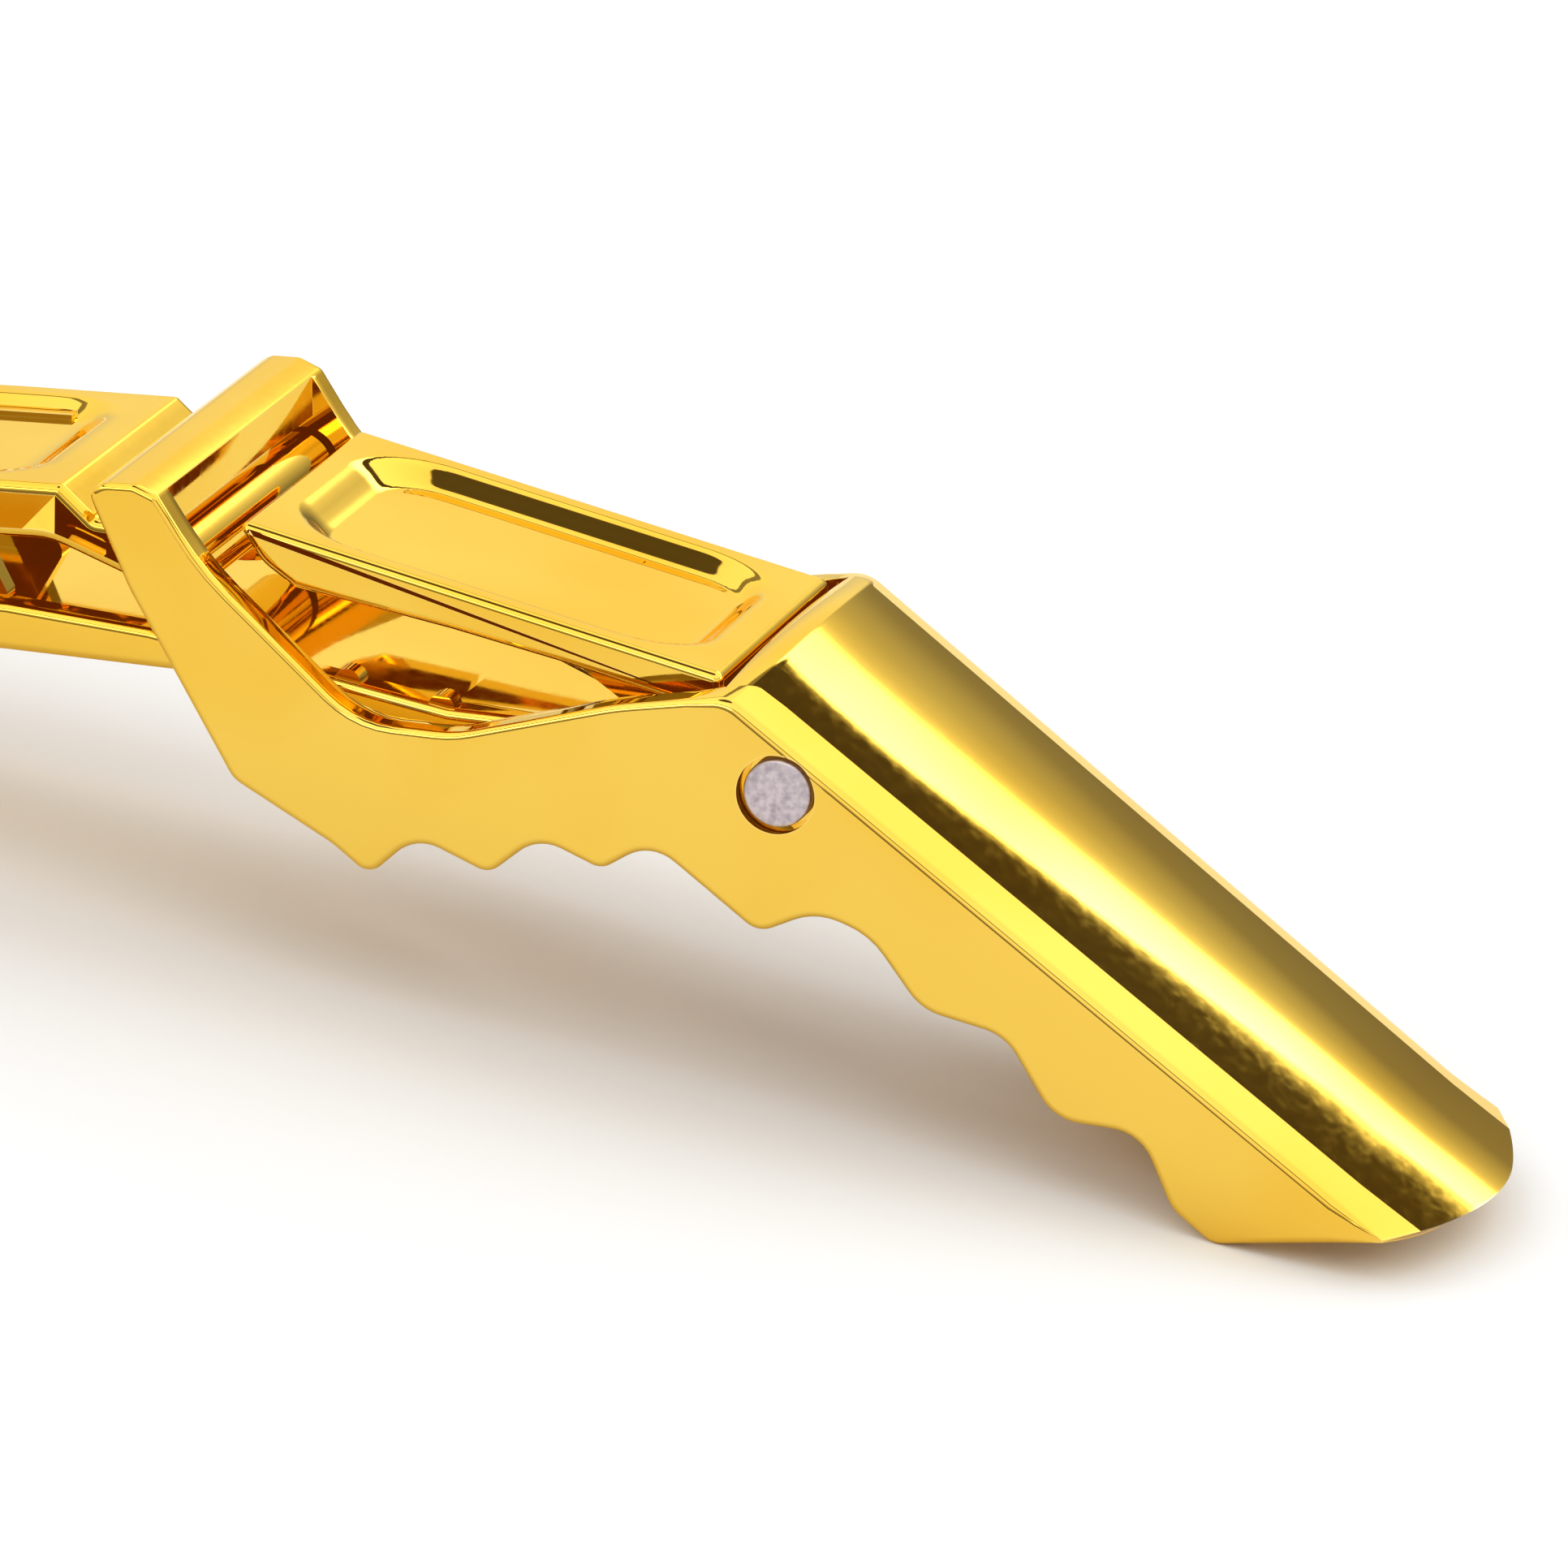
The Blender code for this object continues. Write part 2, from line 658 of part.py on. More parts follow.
# ---------------------------------------------------------------- thumb lever


def thumb_half_width():
    return 0.5 * JAW_WIDTH + THUMB_OVERHANG


def thumb_ear_outer():
    """Outer face of an ear, which turns inside the lower jaw's wall."""
    return 0.5 * JAW_WIDTH - JAW_WALL - THUMB_EAR_GAP


def thumb_rear_x():
    return RIM_X - THUMB_REAR_GAP


def thumb_tilt():
    return math.atan2(THUMB_FRONT_Z - THUMB_REAR_Z, thumb_rear_x() - THUMB_FRONT_X)


def thumb_top(x):
    return THUMB_REAR_Z + (thumb_rear_x() - x) * math.tan(thumb_tilt())


def thumb_outline():
    rear = thumb_rear_x()
    corners = (
        (THUMB_FRONT_X, THUMB_FRONT_Z, 0.2 * MM),
        (-21.3 * MM, 7.0 * MM, 2 * MM),
        (-20.0 * MM, 6.1 * MM, 0.5 * MM),
        (-13.7 * MM, 4.9 * MM, 6 * MM),
        (-9.2 * MM, 3.9 * MM, 6 * MM),
        (rear - 0.6 * MM, THUMB_REAR_Z - THUMB_PLATE, 0.3 * MM),
        (rear, THUMB_REAR_Z - 0.7 * MM, 0.3 * MM),
        (rear, THUMB_REAR_Z, 0.4 * MM),
    )
    return split_runs(rounded(corners))


def thumb_ear_outline():
    """Plate that hangs from the lever's rear and turns on the hinge pin."""
    rear = thumb_rear_x()
    inside = 0.5 * THUMB_PLATE
    start = math.radians(105)
    end = math.radians(-100)
    arc = []
    for step in range(11):
        turn = end + (start - end) * step / 10
        arc.append((KNUCKLE_RADIUS * math.cos(turn), KNUCKLE_RADIUS * math.sin(turn)))
    top_front = THUMB_EAR_FRONT_X
    return [(-6.5 * MM, 1.6 * MM)] + arc + [
        (rear - 0.4 * MM, THUMB_REAR_Z - THUMB_PLATE),
        (rear - 1.0 * MM, thumb_top(rear - 1.0 * MM) - inside),
        (top_front, thumb_top(top_front) - inside),
        (top_front, thumb_top(top_front) - 1.8 * MM),
    ]


def build_thumb_lever(material):
    half = thumb_half_width()
    lever = block(
        "thumb_lever", thumb_outline(), lambda x: half, lambda x, z: EDGE_ROUNDING, middle_steps=2
    )
    rear = thumb_rear_x()
    hollow = [
        (THUMB_FRONT_X - CUT_REACH, -CUT_REACH),
        (rear - THUMB_PLATE, -CUT_REACH),
        (rear - THUMB_PLATE, thumb_top(rear - THUMB_PLATE) - THUMB_PLATE),
        (THUMB_FRONT_X - CUT_REACH, thumb_top(THUMB_FRONT_X - CUT_REACH) - THUMB_PLATE),
    ]
    inner = half - THUMB_WALL
    tray = recess_cutter(
        THUMB_FRONT_X + RECESS_FRONT, rear - RECESS_REAR, thumb_top(rear - RECESS_REAR), thumb_tilt(),
        lambda x: half, RECESS_DEPTH,
    )
    combine(lever, [level_slab("underside", hollow, -inner, inner), tray], "DIFFERENCE")
    ear_outer = thumb_ear_outer()
    ears = []
    for side in (-1, 1):
        near, far = sorted((side * ear_outer, side * (ear_outer - THUMB_EAR_WIDTH)))
        ears.append(level_slab("near_ear" if side < 0 else "far_ear", thumb_ear_outline(), near, far))
    combine(lever, ears, "UNION")
    bore = circle(0, 0, PIN_RADIUS + PIN_CLEARANCE)
    combine(lever, [level_slab("bore", bore, -CUT_REACH, CUT_REACH)], "DIFFERENCE")
    return finish(lever, material)


# ---------------------------------------------------------------- pins and spring


def turned(name, profile, x, z, segments=ROUND_SEGMENTS):
    """Solid of revolution about an axis along Y, from (y, radius) pairs."""
    points = []
    for y, radius in profile:
        points += [(px, y, pz) for px, pz in circle(x, z, radius, segments)]
    last = (len(profile) - 1) * segments
    faces = [tuple(range(segments)), tuple(range(last, last + segments))[::-1]]
    for i in range(len(profile) - 1):
        for j in range(segments):
            after = (j + 1) % segments
            faces.append(
                (i * segments + j, (i + 1) * segments + j, (i + 1) * segments + after, i * segments + after)
            )
    return mesh_object(name, points, faces)


def mirrored_profile(half_profile):
    far_half = [(y, radius) for y, radius in reversed(half_profile)]
    return [(-y, radius) for y, radius in half_profile] + far_half


def build_hinge_pin(material):
    outer = handle_half_width(0.0) - PIN_HEAD_SINK
    inner = pin_head_inner_y()
    edge = 0.12 * MM
    half_profile = [
        (outer, PIN_HEAD_RADIUS - edge),
        (outer - edge, PIN_HEAD_RADIUS),
        (inner, PIN_HEAD_RADIUS),
        (inner, PIN_RADIUS),
    ]
    return finish(turned("hinge_pin", mirrored_profile(half_profile), 0, 0), material)


def build_jaw_pin(material):
    reach = handle_inner_half_width(JAW_PIVOT_X) + JAW_PIN_SEAT - JAW_PIN_END_GAP
    edge = 0.1 * MM
    half_profile = [(reach, JAW_PIN_RADIUS - edge), (reach - edge, JAW_PIN_RADIUS)]
    return finish(turned("jaw_pin", mirrored_profile(half_profile), JAW_PIVOT_X, JAW_PIVOT_Z), material)


def tangent_angle(tip, from_left):
    """Angle on the coil of the point where a line from the tip touches the coil's underside."""
    reach = math.hypot(*tip)
    swing = math.acos(COIL_RADIUS / reach)
    toward = math.atan2(tip[1], tip[0])
    return toward + swing if from_left else toward - swing


def spring_path():
    """Wire from the lever's leg, round the coil and out to the pad's leg."""
    upper_tip = (UPPER_LEG_X, thumb_top(UPPER_LEG_X) - THUMB_PLATE - SPRING_GAP - WIRE_RADIUS)
    along_pad = Vector((math.cos(PAD_SLOPE), -math.sin(PAD_SLOPE))) * REAR_LEG_REACH
    level = PAD_HEIGHT - PAD_WALL - SPRING_GAP - WIRE_RADIUS
    rear_tip = tuple(along_pad + pad_normal() * level)
    start = tangent_angle(upper_tip, True) % (2 * math.pi)
    end = tangent_angle(rear_tip, False) % (2 * math.pi)
    if end < start:
        end += 2 * math.pi
    sweep = end - start + 2 * math.pi * (COIL_TURNS - 1)
    turns = sweep / (2 * math.pi)
    steps = 14 * COIL_TURNS
    half_length = 0.5 * turns * coil_pitch()
    path = [(upper_tip[0], -half_length, upper_tip[1])]
    for step in range(steps + 1):
        share = step / steps
        angle = start + sweep * share
        y = (2 * share - 1) * half_length
        path.append((COIL_RADIUS * math.cos(angle), y, COIL_RADIUS * math.sin(angle)))
    path.append((rear_tip[0], half_length, rear_tip[1]))
    return path


def build_spring(material):
    curve = bpy.data.curves.new("main_spring", "CURVE")
    curve.dimensions = "3D"
    curve.bevel_depth = WIRE_RADIUS
    curve.bevel_resolution = 1
    curve.use_fill_caps = True
    path = spring_path()
    spline = curve.splines.new("POLY")
    spline.points.add(len(path) - 1)
    for point, spot in zip(spline.points, path):
        point.co = (*spot, 1.0)
    curve.materials.append(material)
    spring = bpy.data.objects.new("main_spring", curve)
    bpy.context.scene.collection.objects.link(spring)
    return spring


# ---------------------------------------------------------------- assembly


def lowest(points, lean):
    """The (x, z) point that lies lowest once the clip leans by this angle."""
    return min(points, key=lambda spot: spot[0] * math.sin(lean) + spot[1] * math.cos(lean))


def standing_lean(handle, lower_jaw):
    """Angle that brings the heel and the tip of the lower jaw onto one level."""
    heel_points = [(corner.co.x, corner.co.z) for corner in handle.data.vertices if corner.co.x > 0]
    tip_points = [(corner.co.x, corner.co.z) for corner in lower_jaw.data.vertices]
    lean = 0.0
    for _ in range(6):
        heel = lowest(heel_points, lean)
        tip = lowest([spot for spot in tip_points if spot[0] < 0.9 * NOSE_X], lean)
        lean = math.atan2(tip[1] - heel[1], heel[0] - tip[0])
    return lean


def bounds_when_leaning(things, lean):
    spots = []
    for thing in things:
        for corner in thing.data.vertices:
            x, z = corner.co.x, corner.co.z
            spots.append((x * math.cos(lean) - z * math.sin(lean), x * math.sin(lean) + z * math.cos(lean)))
    xs = [spot[0] for spot in spots]
    return min(xs), max(xs), min(spot[1] for spot in spots)


def empty(name, parent, location):
    helper = bpy.data.objects.new(name, None)
    helper.empty_display_size = 3 * MM
    bpy.context.scene.collection.objects.link(helper)
    helper.parent = parent
    helper.location = location
    return helper


def hang(thing, pivot, location):
    """Parents the thing to its pivot, with its origin on the pivot's axis."""
    thing.data.transform(Matrix.Translation(-Vector(location)))
    thing.parent = pivot


def main():
    clear_scene()
    gold = metal("gold_plated_abs", GOLD, 0.08)
    steel = metal("steel_pin", STEEL, 0.4)
    spring_steel = metal("spring_wire", SPRING_STEEL, 0.3)
    handle = build_handle(gold)
    lower_jaw = build_lower_jaw(gold.copy())
    upper_jaw = build_upper_jaw(gold.copy())
    thumb_lever = build_thumb_lever(gold.copy())
    hinge_pin = build_hinge_pin(steel)
    jaw_pin = build_jaw_pin(steel.copy())
    spring = build_spring(spring_steel)

    lean = standing_lean(handle, lower_jaw)
    low_x, high_x, low_z = bounds_when_leaning((handle, lower_jaw, upper_jaw, thumb_lever), lean)
    frame = empty("clip_frame", None, (-0.5 * (low_x + high_x), 0.0, -low_z))
    frame.rotation_euler = (0.0, -lean, 0.0)
    lever_pivot = empty("lever_pivot", frame, (0, 0, 0))
    jaw_place = (JAW_PIVOT_X, 0, JAW_PIVOT_Z)
    jaw_pivot = empty("jaw_pivot", frame, jaw_place)
    for thing in (handle, hinge_pin, jaw_pin, spring):
        thing.parent = frame
    for thing in (lower_jaw, thumb_lever):
        hang(thing, lever_pivot, (0, 0, 0))
    hang(upper_jaw, jaw_pivot, jaw_place)


main()
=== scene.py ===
"""Looks of the hair sectioning clip: fine meshes, finishes, floor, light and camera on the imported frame."""

import json
import logging
import math
from dataclasses import dataclass, field
from enum import Enum
from typing import Any, Callable, Optional, Sequence

import bmesh
import bpy
from mathutils import Matrix, Vector


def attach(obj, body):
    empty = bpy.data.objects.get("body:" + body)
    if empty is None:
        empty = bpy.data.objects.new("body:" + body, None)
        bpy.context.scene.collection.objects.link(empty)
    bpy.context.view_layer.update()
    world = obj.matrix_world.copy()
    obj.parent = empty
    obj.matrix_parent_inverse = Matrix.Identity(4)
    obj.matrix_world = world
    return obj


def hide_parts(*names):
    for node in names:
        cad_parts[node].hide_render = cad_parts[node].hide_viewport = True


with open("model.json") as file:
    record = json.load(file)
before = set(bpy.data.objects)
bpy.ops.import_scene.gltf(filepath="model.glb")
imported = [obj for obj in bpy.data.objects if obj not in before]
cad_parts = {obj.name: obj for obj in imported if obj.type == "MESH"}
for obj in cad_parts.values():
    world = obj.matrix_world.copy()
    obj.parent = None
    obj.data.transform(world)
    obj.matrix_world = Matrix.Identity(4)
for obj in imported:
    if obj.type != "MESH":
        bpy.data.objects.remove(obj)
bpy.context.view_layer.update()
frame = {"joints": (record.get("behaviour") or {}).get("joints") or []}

LOG = logging.getLogger("sectioning_clip")
MM = 0.001

Point = tuple[float, float]
Corner = tuple[float, float, float]
Profile = Callable[[float], float]


class Solid(Enum):
    """How one closed body changes another."""

    CUT = "DIFFERENCE"
    JOIN = "UNION"


# ---------------------------------------------------------------- colours and nodes


def linear(code: str) -> tuple[float, float, float, float]:
    """Turns an sRGB hex colour to linear.

    Args:
        code: Six hex digits after a hash sign.

    Returns:
        Linear red, green, blue and an alpha of one.
    """
    parts = [int(code[i : i + 2], 16) / 255 for i in (1, 3, 5)]
    curved = [part / 12.92 if part <= 0.04045 else ((part + 0.055) / 1.055) ** 2.4 for part in parts]
    return (curved[0], curved[1], curved[2], 1.0)


def add_node(
    tree: bpy.types.NodeTree,
    kind: str,
    inputs: Optional[dict[Any, Any]] = None,
    **settings: Any,
) -> bpy.types.Node:
    """Adds a node with its settings and links.

    Args:
        tree: The node tree.
        kind: The node's type name.
        inputs: A value or another node's output socket for each named or numbered input.
        **settings: Attributes of the node, such as operation.

    Returns:
        The new node.
    """
    node = tree.nodes.new(kind)
    for name, value in settings.items():
        setattr(node, name, value)
    for name, value in (inputs or {}).items():
        if isinstance(value, bpy.types.NodeSocket):
            tree.links.new(value, node.inputs[name])
        else:
            node.inputs[name].default_value = value
    return node


def set_ramp(node: bpy.types.Node, stops: Sequence[tuple[float, Any]]) -> bpy.types.Node:
    """Gives a colour ramp its stops.

    Args:
        node: The Color Ramp node.
        stops: Position and linear colour or grey value of each stop, from left to right.

    Returns:
        The same node.
    """
    elements = node.color_ramp.elements
    while len(elements) < len(stops):
        elements.new(1.0)
    for element, (place, value) in zip(elements, stops):
        element.position = place
        element.color = (value, value, value, 1.0) if isinstance(value, float) else value
    return node


# ---------------------------------------------------------------- outlines


def between(value: float, start: float, end: float, low: float, high: float) -> float:
    """Reads a straight line from low at start to high at end, level beyond both.

    Args:
        value: Where the line is read.
        start: Place of the low value.
        end: Place of the high value.
        low: Value at start.
        high: Value at end.

    Returns:
        The line's value.
    """
    share = min(max((value - start) / (end - start), 0.0), 1.0)
    return low + (high - low) * share


def eased(share: float) -> float:
    """Smooth step of a share that is kept from 0 to 1."""
    kept = min(max(share, 0.0), 1.0)
    return kept * kept * (3 - 2 * kept)


def along(knots: Sequence[Point], x: float) -> float:
    """Height at x on straight runs between knots.

    Args:
        knots: Points (x, z) from low x to high x.
        x: Where the height is read.

    Returns:
        The height z.
    """
    for (x0, z0), (x1, z1) in zip(knots, knots[1:]):
        if x <= x1:
            return between(x, x0, x1, z0, z1)
    return knots[-1][1]


def rounded(corners: Sequence[Corner], step: float = math.radians(9)) -> list[Point]:
    """Turns each corner of a closed outline into an arc.

    Args:
        corners: Points (x, z, radius), counterclockwise.
        step: Largest turn between two points of an arc.

    Returns:
        The outline's points.
    """
    points: list[Point] = []
    for i, (x, z, radius) in enumerate(corners):
        here = Vector((x, z))
        back = Vector(corners[i - 1][:2]) - here
        ahead = Vector(corners[(i + 1) % len(corners)][:2]) - here
        opening = back.angle(ahead)
        if radius <= 0 or opening > math.pi - 0.02:
            points.append((x, z))
            continue
        reach = min(radius / math.tan(opening / 2), 0.48 * back.length, 0.48 * ahead.length)
        radius = reach * math.tan(opening / 2)
        middle = here + (back.normalized() + ahead.normalized()).normalized() * (radius / math.sin(opening / 2))
        start = here + back.normalized() * reach - middle
        end = here + ahead.normalized() * reach - middle
        turn = math.atan2(start.x * end.y - start.y * end.x, start.dot(end))
        steps = max(3, math.ceil(abs(turn) / step))
        for count in range(steps + 1):
            angle = math.atan2(start.y, start.x) + turn * count / steps
            points.append((middle.x + radius * math.cos(angle), middle.y + radius * math.sin(angle)))
    return points


def split_runs(points: Sequence[Point], longest: float) -> list[Point]:
    """Divides the long straight runs of a closed outline.

    Args:
        points: The outline.
        longest: Longest run that is left whole.

    Returns:
        The outline with points added.
    """
    split: list[Point] = []
    for here, after in zip(points, [*points[1:], points[0]]):
        pieces = max(1, math.ceil(math.dist(here, after) / longest))
        for i in range(pieces):
            share = i / pieces
            split.append((here[0] + (after[0] - here[0]) * share, here[1] + (after[1] - here[1]) * share))
    return split


def circle(x: float, z: float, radius: float, segments: int = 64) -> list[Point]:
    """Points of a circle, counterclockwise."""
    turns = [2 * math.pi * i / segments for i in range(segments)]
    return [(x + radius * math.cos(turn), z + radius * math.sin(turn)) for turn in turns]


def inward_normals(outline: Sequence[Point]) -> list[Vector]:
    """Offset direction at each point of a counterclockwise outline, long enough to keep walls parallel."""
    normals = []
    for i, here in enumerate(outline):
        back = (Vector(here) - Vector(outline[i - 1])).normalized()
        ahead = (Vector(outline[(i + 1) % len(outline)]) - Vector(here)).normalized()
        first = Vector((-back.y, back.x))
        second = Vector((-ahead.y, ahead.x))
        normals.append((first + second) / max(1 + first.dot(second), 0.5))
    return normals


# ---------------------------------------------------------------- bodies


def mesh_object(name: str, points: Sequence[Sequence[float]], faces: Sequence[Sequence[int]]) -> bpy.types.Object:
    """Makes a mesh object in the clip's own frame.

    Args:
        name: The object's name.
        points: Corners (x, y, z).
        faces: Corner numbers of each face.

    Returns:
        The linked object.
    """
    mesh = bpy.data.meshes.new(name)
    mesh.from_pydata([tuple(point) for point in points], [], [tuple(face) for face in faces])
    mesh.validate()
    thing = bpy.data.objects.new(name, mesh)
    bpy.context.scene.collection.objects.link(thing)
    return thing


def ring_faces(rings: int, width: int) -> list[tuple[int, ...]]:
    """Side faces between rings of points, each ring closed.

    Args:
        rings: Number of rings.
        width: Points in each ring.

    Returns:
        The faces, without the two ends.
    """
    faces = []
    for i in range(rings - 1):
        for j in range(width):
            after = (j + 1) % width
            faces.append((i * width + j, i * width + after, (i + 1) * width + after, (i + 1) * width + j))
    return faces


def slab(name: str, outline: Sequence[Point], near: Profile, far: Profile) -> bpy.types.Object:
    """Makes a body from a side outline, between the faces y = near(x) and y = far(x).

    Args:
        name: The object's name.
        outline: Counterclockwise points (x, z).
        near: Place of the near side face.
        far: Place of the far side face.

    Returns:
        The body.
    """
    count = len(outline)
    points = [(x, near(x), z) for x, z in outline] + [(x, far(x), z) for x, z in outline]
    faces: list[tuple[int, ...]] = [tuple(range(count)), tuple(range(2 * count - 1, count - 1, -1))]
    for i in range(count):
        after = (i + 1) % count
        faces.append((i, i + count, after + count, after))
    return mesh_object(name, points, faces)


def level_slab(name: str, outline: Sequence[Point], near: float, far: float) -> bpy.types.Object:
    """Makes a slab whose side faces are square to Y."""
    return slab(name, outline, lambda x: near, lambda x: far)


def combine(thing: bpy.types.Object, others: Sequence[bpy.types.Object], how: Solid) -> bpy.types.Object:
    """Cuts the others from a body or joins them to it.

    Args:
        thing: The body to change.
        others: Bodies that are used up.
        how: Cut or join.

    Returns:
        The changed body.
    """
    for other in others:
        change = thing.modifiers.new(other.name, "BOOLEAN")
        change.operation = how.value
        change.solver = "EXACT"
        change.object = other
    graph = bpy.context.evaluated_depsgraph_get()
    result = bpy.data.meshes.new_from_object(thing.evaluated_get(graph))
    thing.modifiers.clear()
    thing.data = result
    result.name = thing.name
    for other in others:
        bpy.data.objects.remove(other, do_unlink=True)
    return thing


def ease_edges(
    thing: bpy.types.Object,
    width: float,
    chosen: Callable[[Vector], bool],
    segments: int = 3,
    angle: float = math.radians(40),
) -> bpy.types.Object:
    """Rounds the sharp edges of a body where chosen says so.

    Args:
        thing: The body.
        width: Width of the rounding.
        chosen: Test of an edge's middle, in the clip's own frame.
        segments: Faces across the rounding.
        angle: Least angle between two faces of an edge that counts as sharp.

    Returns:
        The same body.
    """
    work = bmesh.new()
    work.from_mesh(thing.data)
    bmesh.ops.dissolve_degenerate(work, dist=1e-6, edges=work.edges[:])
    edges = []
    for edge in work.edges:
        if len(edge.link_faces) == 2 and edge.calc_face_angle(0.0) > angle:
            if chosen((edge.verts[0].co + edge.verts[1].co) / 2):
                edges.append(edge)
    bmesh.ops.bevel(
        work, geom=edges, offset=width, segments=segments, profile=0.5, affect="EDGES", clamp_overlap=True
    )
    work.to_mesh(thing.data)
    work.free()
    return thing


def polish(thing: bpy.types.Object, sharp: float = math.radians(32)) -> bpy.types.Object:
    """Shades a body smooth, keeps its corners and evens its normals, so that flats mirror as flats.

    Args:
        thing: The body.
        sharp: Angle above which an edge stays sharp.

    Returns:
        The same body.
    """
    thing.data.shade_smooth()
    thing.data.set_sharp_from_angle(angle=sharp)
    weighted = thing.modifiers.new("even_normals", "WEIGHTED_NORMAL")
    weighted.mode = "FACE_AREA"
    weighted.weight = 80
    weighted.keep_sharp = True
    return thing


# ---------------------------------------------------------------- the clip's own frame


@dataclass(frozen=True)
class ClipFrame:
    """Frame in which the clip is drawn: hinge pin at the origin, +X to the handle's end, -X to the jaws.

    The clip stands on the handle's heel and the tip of the lower jaw, so this frame leans. The place
    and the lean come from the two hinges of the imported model.
    """

    origin: Vector
    lean: float

    @staticmethod
    def from_joints(jaw_hinge_x: float, jaw_hinge_z: float) -> "ClipFrame":
        """Finds the frame from the two hinges.

        Args:
            jaw_hinge_x: Place of the upper jaw's hinge in this frame.
            jaw_hinge_z: Its height in this frame.

        Returns:
            The frame.
        """
        places = {joint["name"]: Vector(joint["pos_m"]) for joint in frame["joints"]}
        origin = places["lever_hinge"]
        run = places["upper_jaw_hinge"] - origin
        lean = math.atan2(run.z, run.x) - math.atan2(jaw_hinge_z, jaw_hinge_x)
        return ClipFrame(origin, lean)

    def matrix(self) -> Matrix:
        """Transform from this frame to the row frame."""
        return Matrix.Translation(self.origin) @ Matrix.Rotation(-self.lean, 4, "Y")

    def direction(self, x: float, y: float, z: float) -> Vector:
        """A direction of this frame, in the row frame."""
        return (Matrix.Rotation(-self.lean, 3, "Y") @ Vector((x, y, z))).normalized()


def mount(
    thing: bpy.types.Object, place: ClipFrame, body: str, node: str, finish: bpy.types.Material
) -> bpy.types.Object:
    """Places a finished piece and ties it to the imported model.

    Args:
        thing: The piece, still in the clip's own frame.
        place: The clip's frame.
        body: CAD body that the piece rides on.
        node: CAD node that it stands for.
        finish: The piece's material.

    Returns:
        The same piece.
    """
    thing.data.transform(place.matrix())
    thing.data.materials.clear()
    thing.data.materials.append(finish)
    thing.data.update()
    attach(thing, body)
    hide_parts(node)
    LOG.info("%s: %d faces on body %s", thing.name, len(thing.data.polygons), body)
    return thing


# ---------------------------------------------------------------- finishes


@dataclass(frozen=True)
class PlatedAbs:
    """ABS, moulded and electroplated in mirror gold.

    Copper, nickel and gold on a glossy moulding: a mirror with no grain, whose reflections bend a
    little where the moulding has sunk. The edges carry a painted highlight: a paler gold on sharp corners.
    """

    name: str
    gold: str = "#EDC553"
    # Paler gold painted on sharp corners as an edge highlight.
    edge_highlight_gold: str = "#F6DC8E"
    deep: str = "#E8B93F"
    roughness: float = 0.045
    sink_wave: float = 9.0 * MM
    sink_depth: float = 0.006 * MM
    speck_size: float = 0.5 * MM

    def material(self) -> bpy.types.Material:
        """Builds the material.

        Returns:
            The material.
        """
        made = bpy.data.materials.new(self.name)
        made.use_nodes = True
        tree = made.node_tree
        shader = tree.nodes["Principled BSDF"]
        place = add_node(tree, "ShaderNodeTexCoord").outputs["Object"]
        # Slow drift of the plating's tone over the part, as baths leave it.
        drift = add_node(tree, "ShaderNodeTexNoise", {"Vector": place, "Scale": 1 / (14 * MM), "Detail": 2.0})
        tone = set_ramp(
            add_node(tree, "ShaderNodeValToRGB", {"Fac": drift.outputs["Fac"]}),
            [(0.35, linear(self.deep)), (0.6, linear(self.gold))],
        )
        # Painted edge highlight: sharp corners, found by how far the bevelled normal leaves the true one, get a paler
        # gold.
        bevel = add_node(tree, "ShaderNodeBevel", {"Radius": 0.12 * MM}, samples=4)
        true_normal = add_node(tree, "ShaderNodeNewGeometry").outputs["Normal"]
        agreement = add_node(
            tree, "ShaderNodeVectorMath", {0: bevel.outputs["Normal"], 1: true_normal}, operation="DOT_PRODUCT"
        )
        edge = add_node(
            tree,
            "ShaderNodeMapRange",
            {"Value": agreement.outputs["Value"], "From Min": 0.985, "From Max": 0.9, "To Min": 0.0, "To Max": 0.6},
        )
        colour = add_node(
            tree,
            "ShaderNodeMix",
            {"Factor": edge.outputs["Result"], "A": tone.outputs["Color"], "B": linear(self.edge_highlight_gold)},
            data_type="RGBA",
        )
        # Fine specks of handling haze, drawn at half a millimetre so that they show.
        haze = add_node(
            tree, "ShaderNodeTexNoise", {"Vector": place, "Scale": 1 / self.speck_size, "Detail": 4.0}
        )
        rough = add_node(
            tree,
            "ShaderNodeMapRange",
            {
                "Value": haze.outputs["Fac"],
                "From Min": 0.35,
                "From Max": 0.75,
                "To Min": self.roughness * 0.6,
                "To Max": self.roughness * 1.6,
            },
        )
        # Sink of the moulding under the mirror: long, shallow waves.
        wave = add_node(
            tree, "ShaderNodeTexNoise", {"Vector": place, "Scale": 1 / self.sink_wave, "Detail": 1.0}
        )
        bump = add_node(
            tree, "ShaderNodeBump", {"Height": wave.outputs["Fac"], "Distance": self.sink_depth, "Strength": 1.0}
        )
        tree.links.new(colour.outputs[2], shader.inputs["Base Color"])
        tree.links.new(rough.outputs["Result"], shader.inputs["Roughness"])
        tree.links.new(bump.outputs["Normal"], shader.inputs["Normal"])
        shader.inputs["Metallic"].default_value = 1.0
        # Painted glow: a faint orange emission stands in for light bounced many times between plated walls.
        shader.inputs["Emission Color"].default_value = linear("#C8690A")
        shader.inputs["Emission Strength"].default_value = 0.045
        # A glance along the surface stays golden and does not turn white.
        shader.inputs["Specular Tint"].default_value = (1.0, 0.93, 0.6, 1.0)
        return made


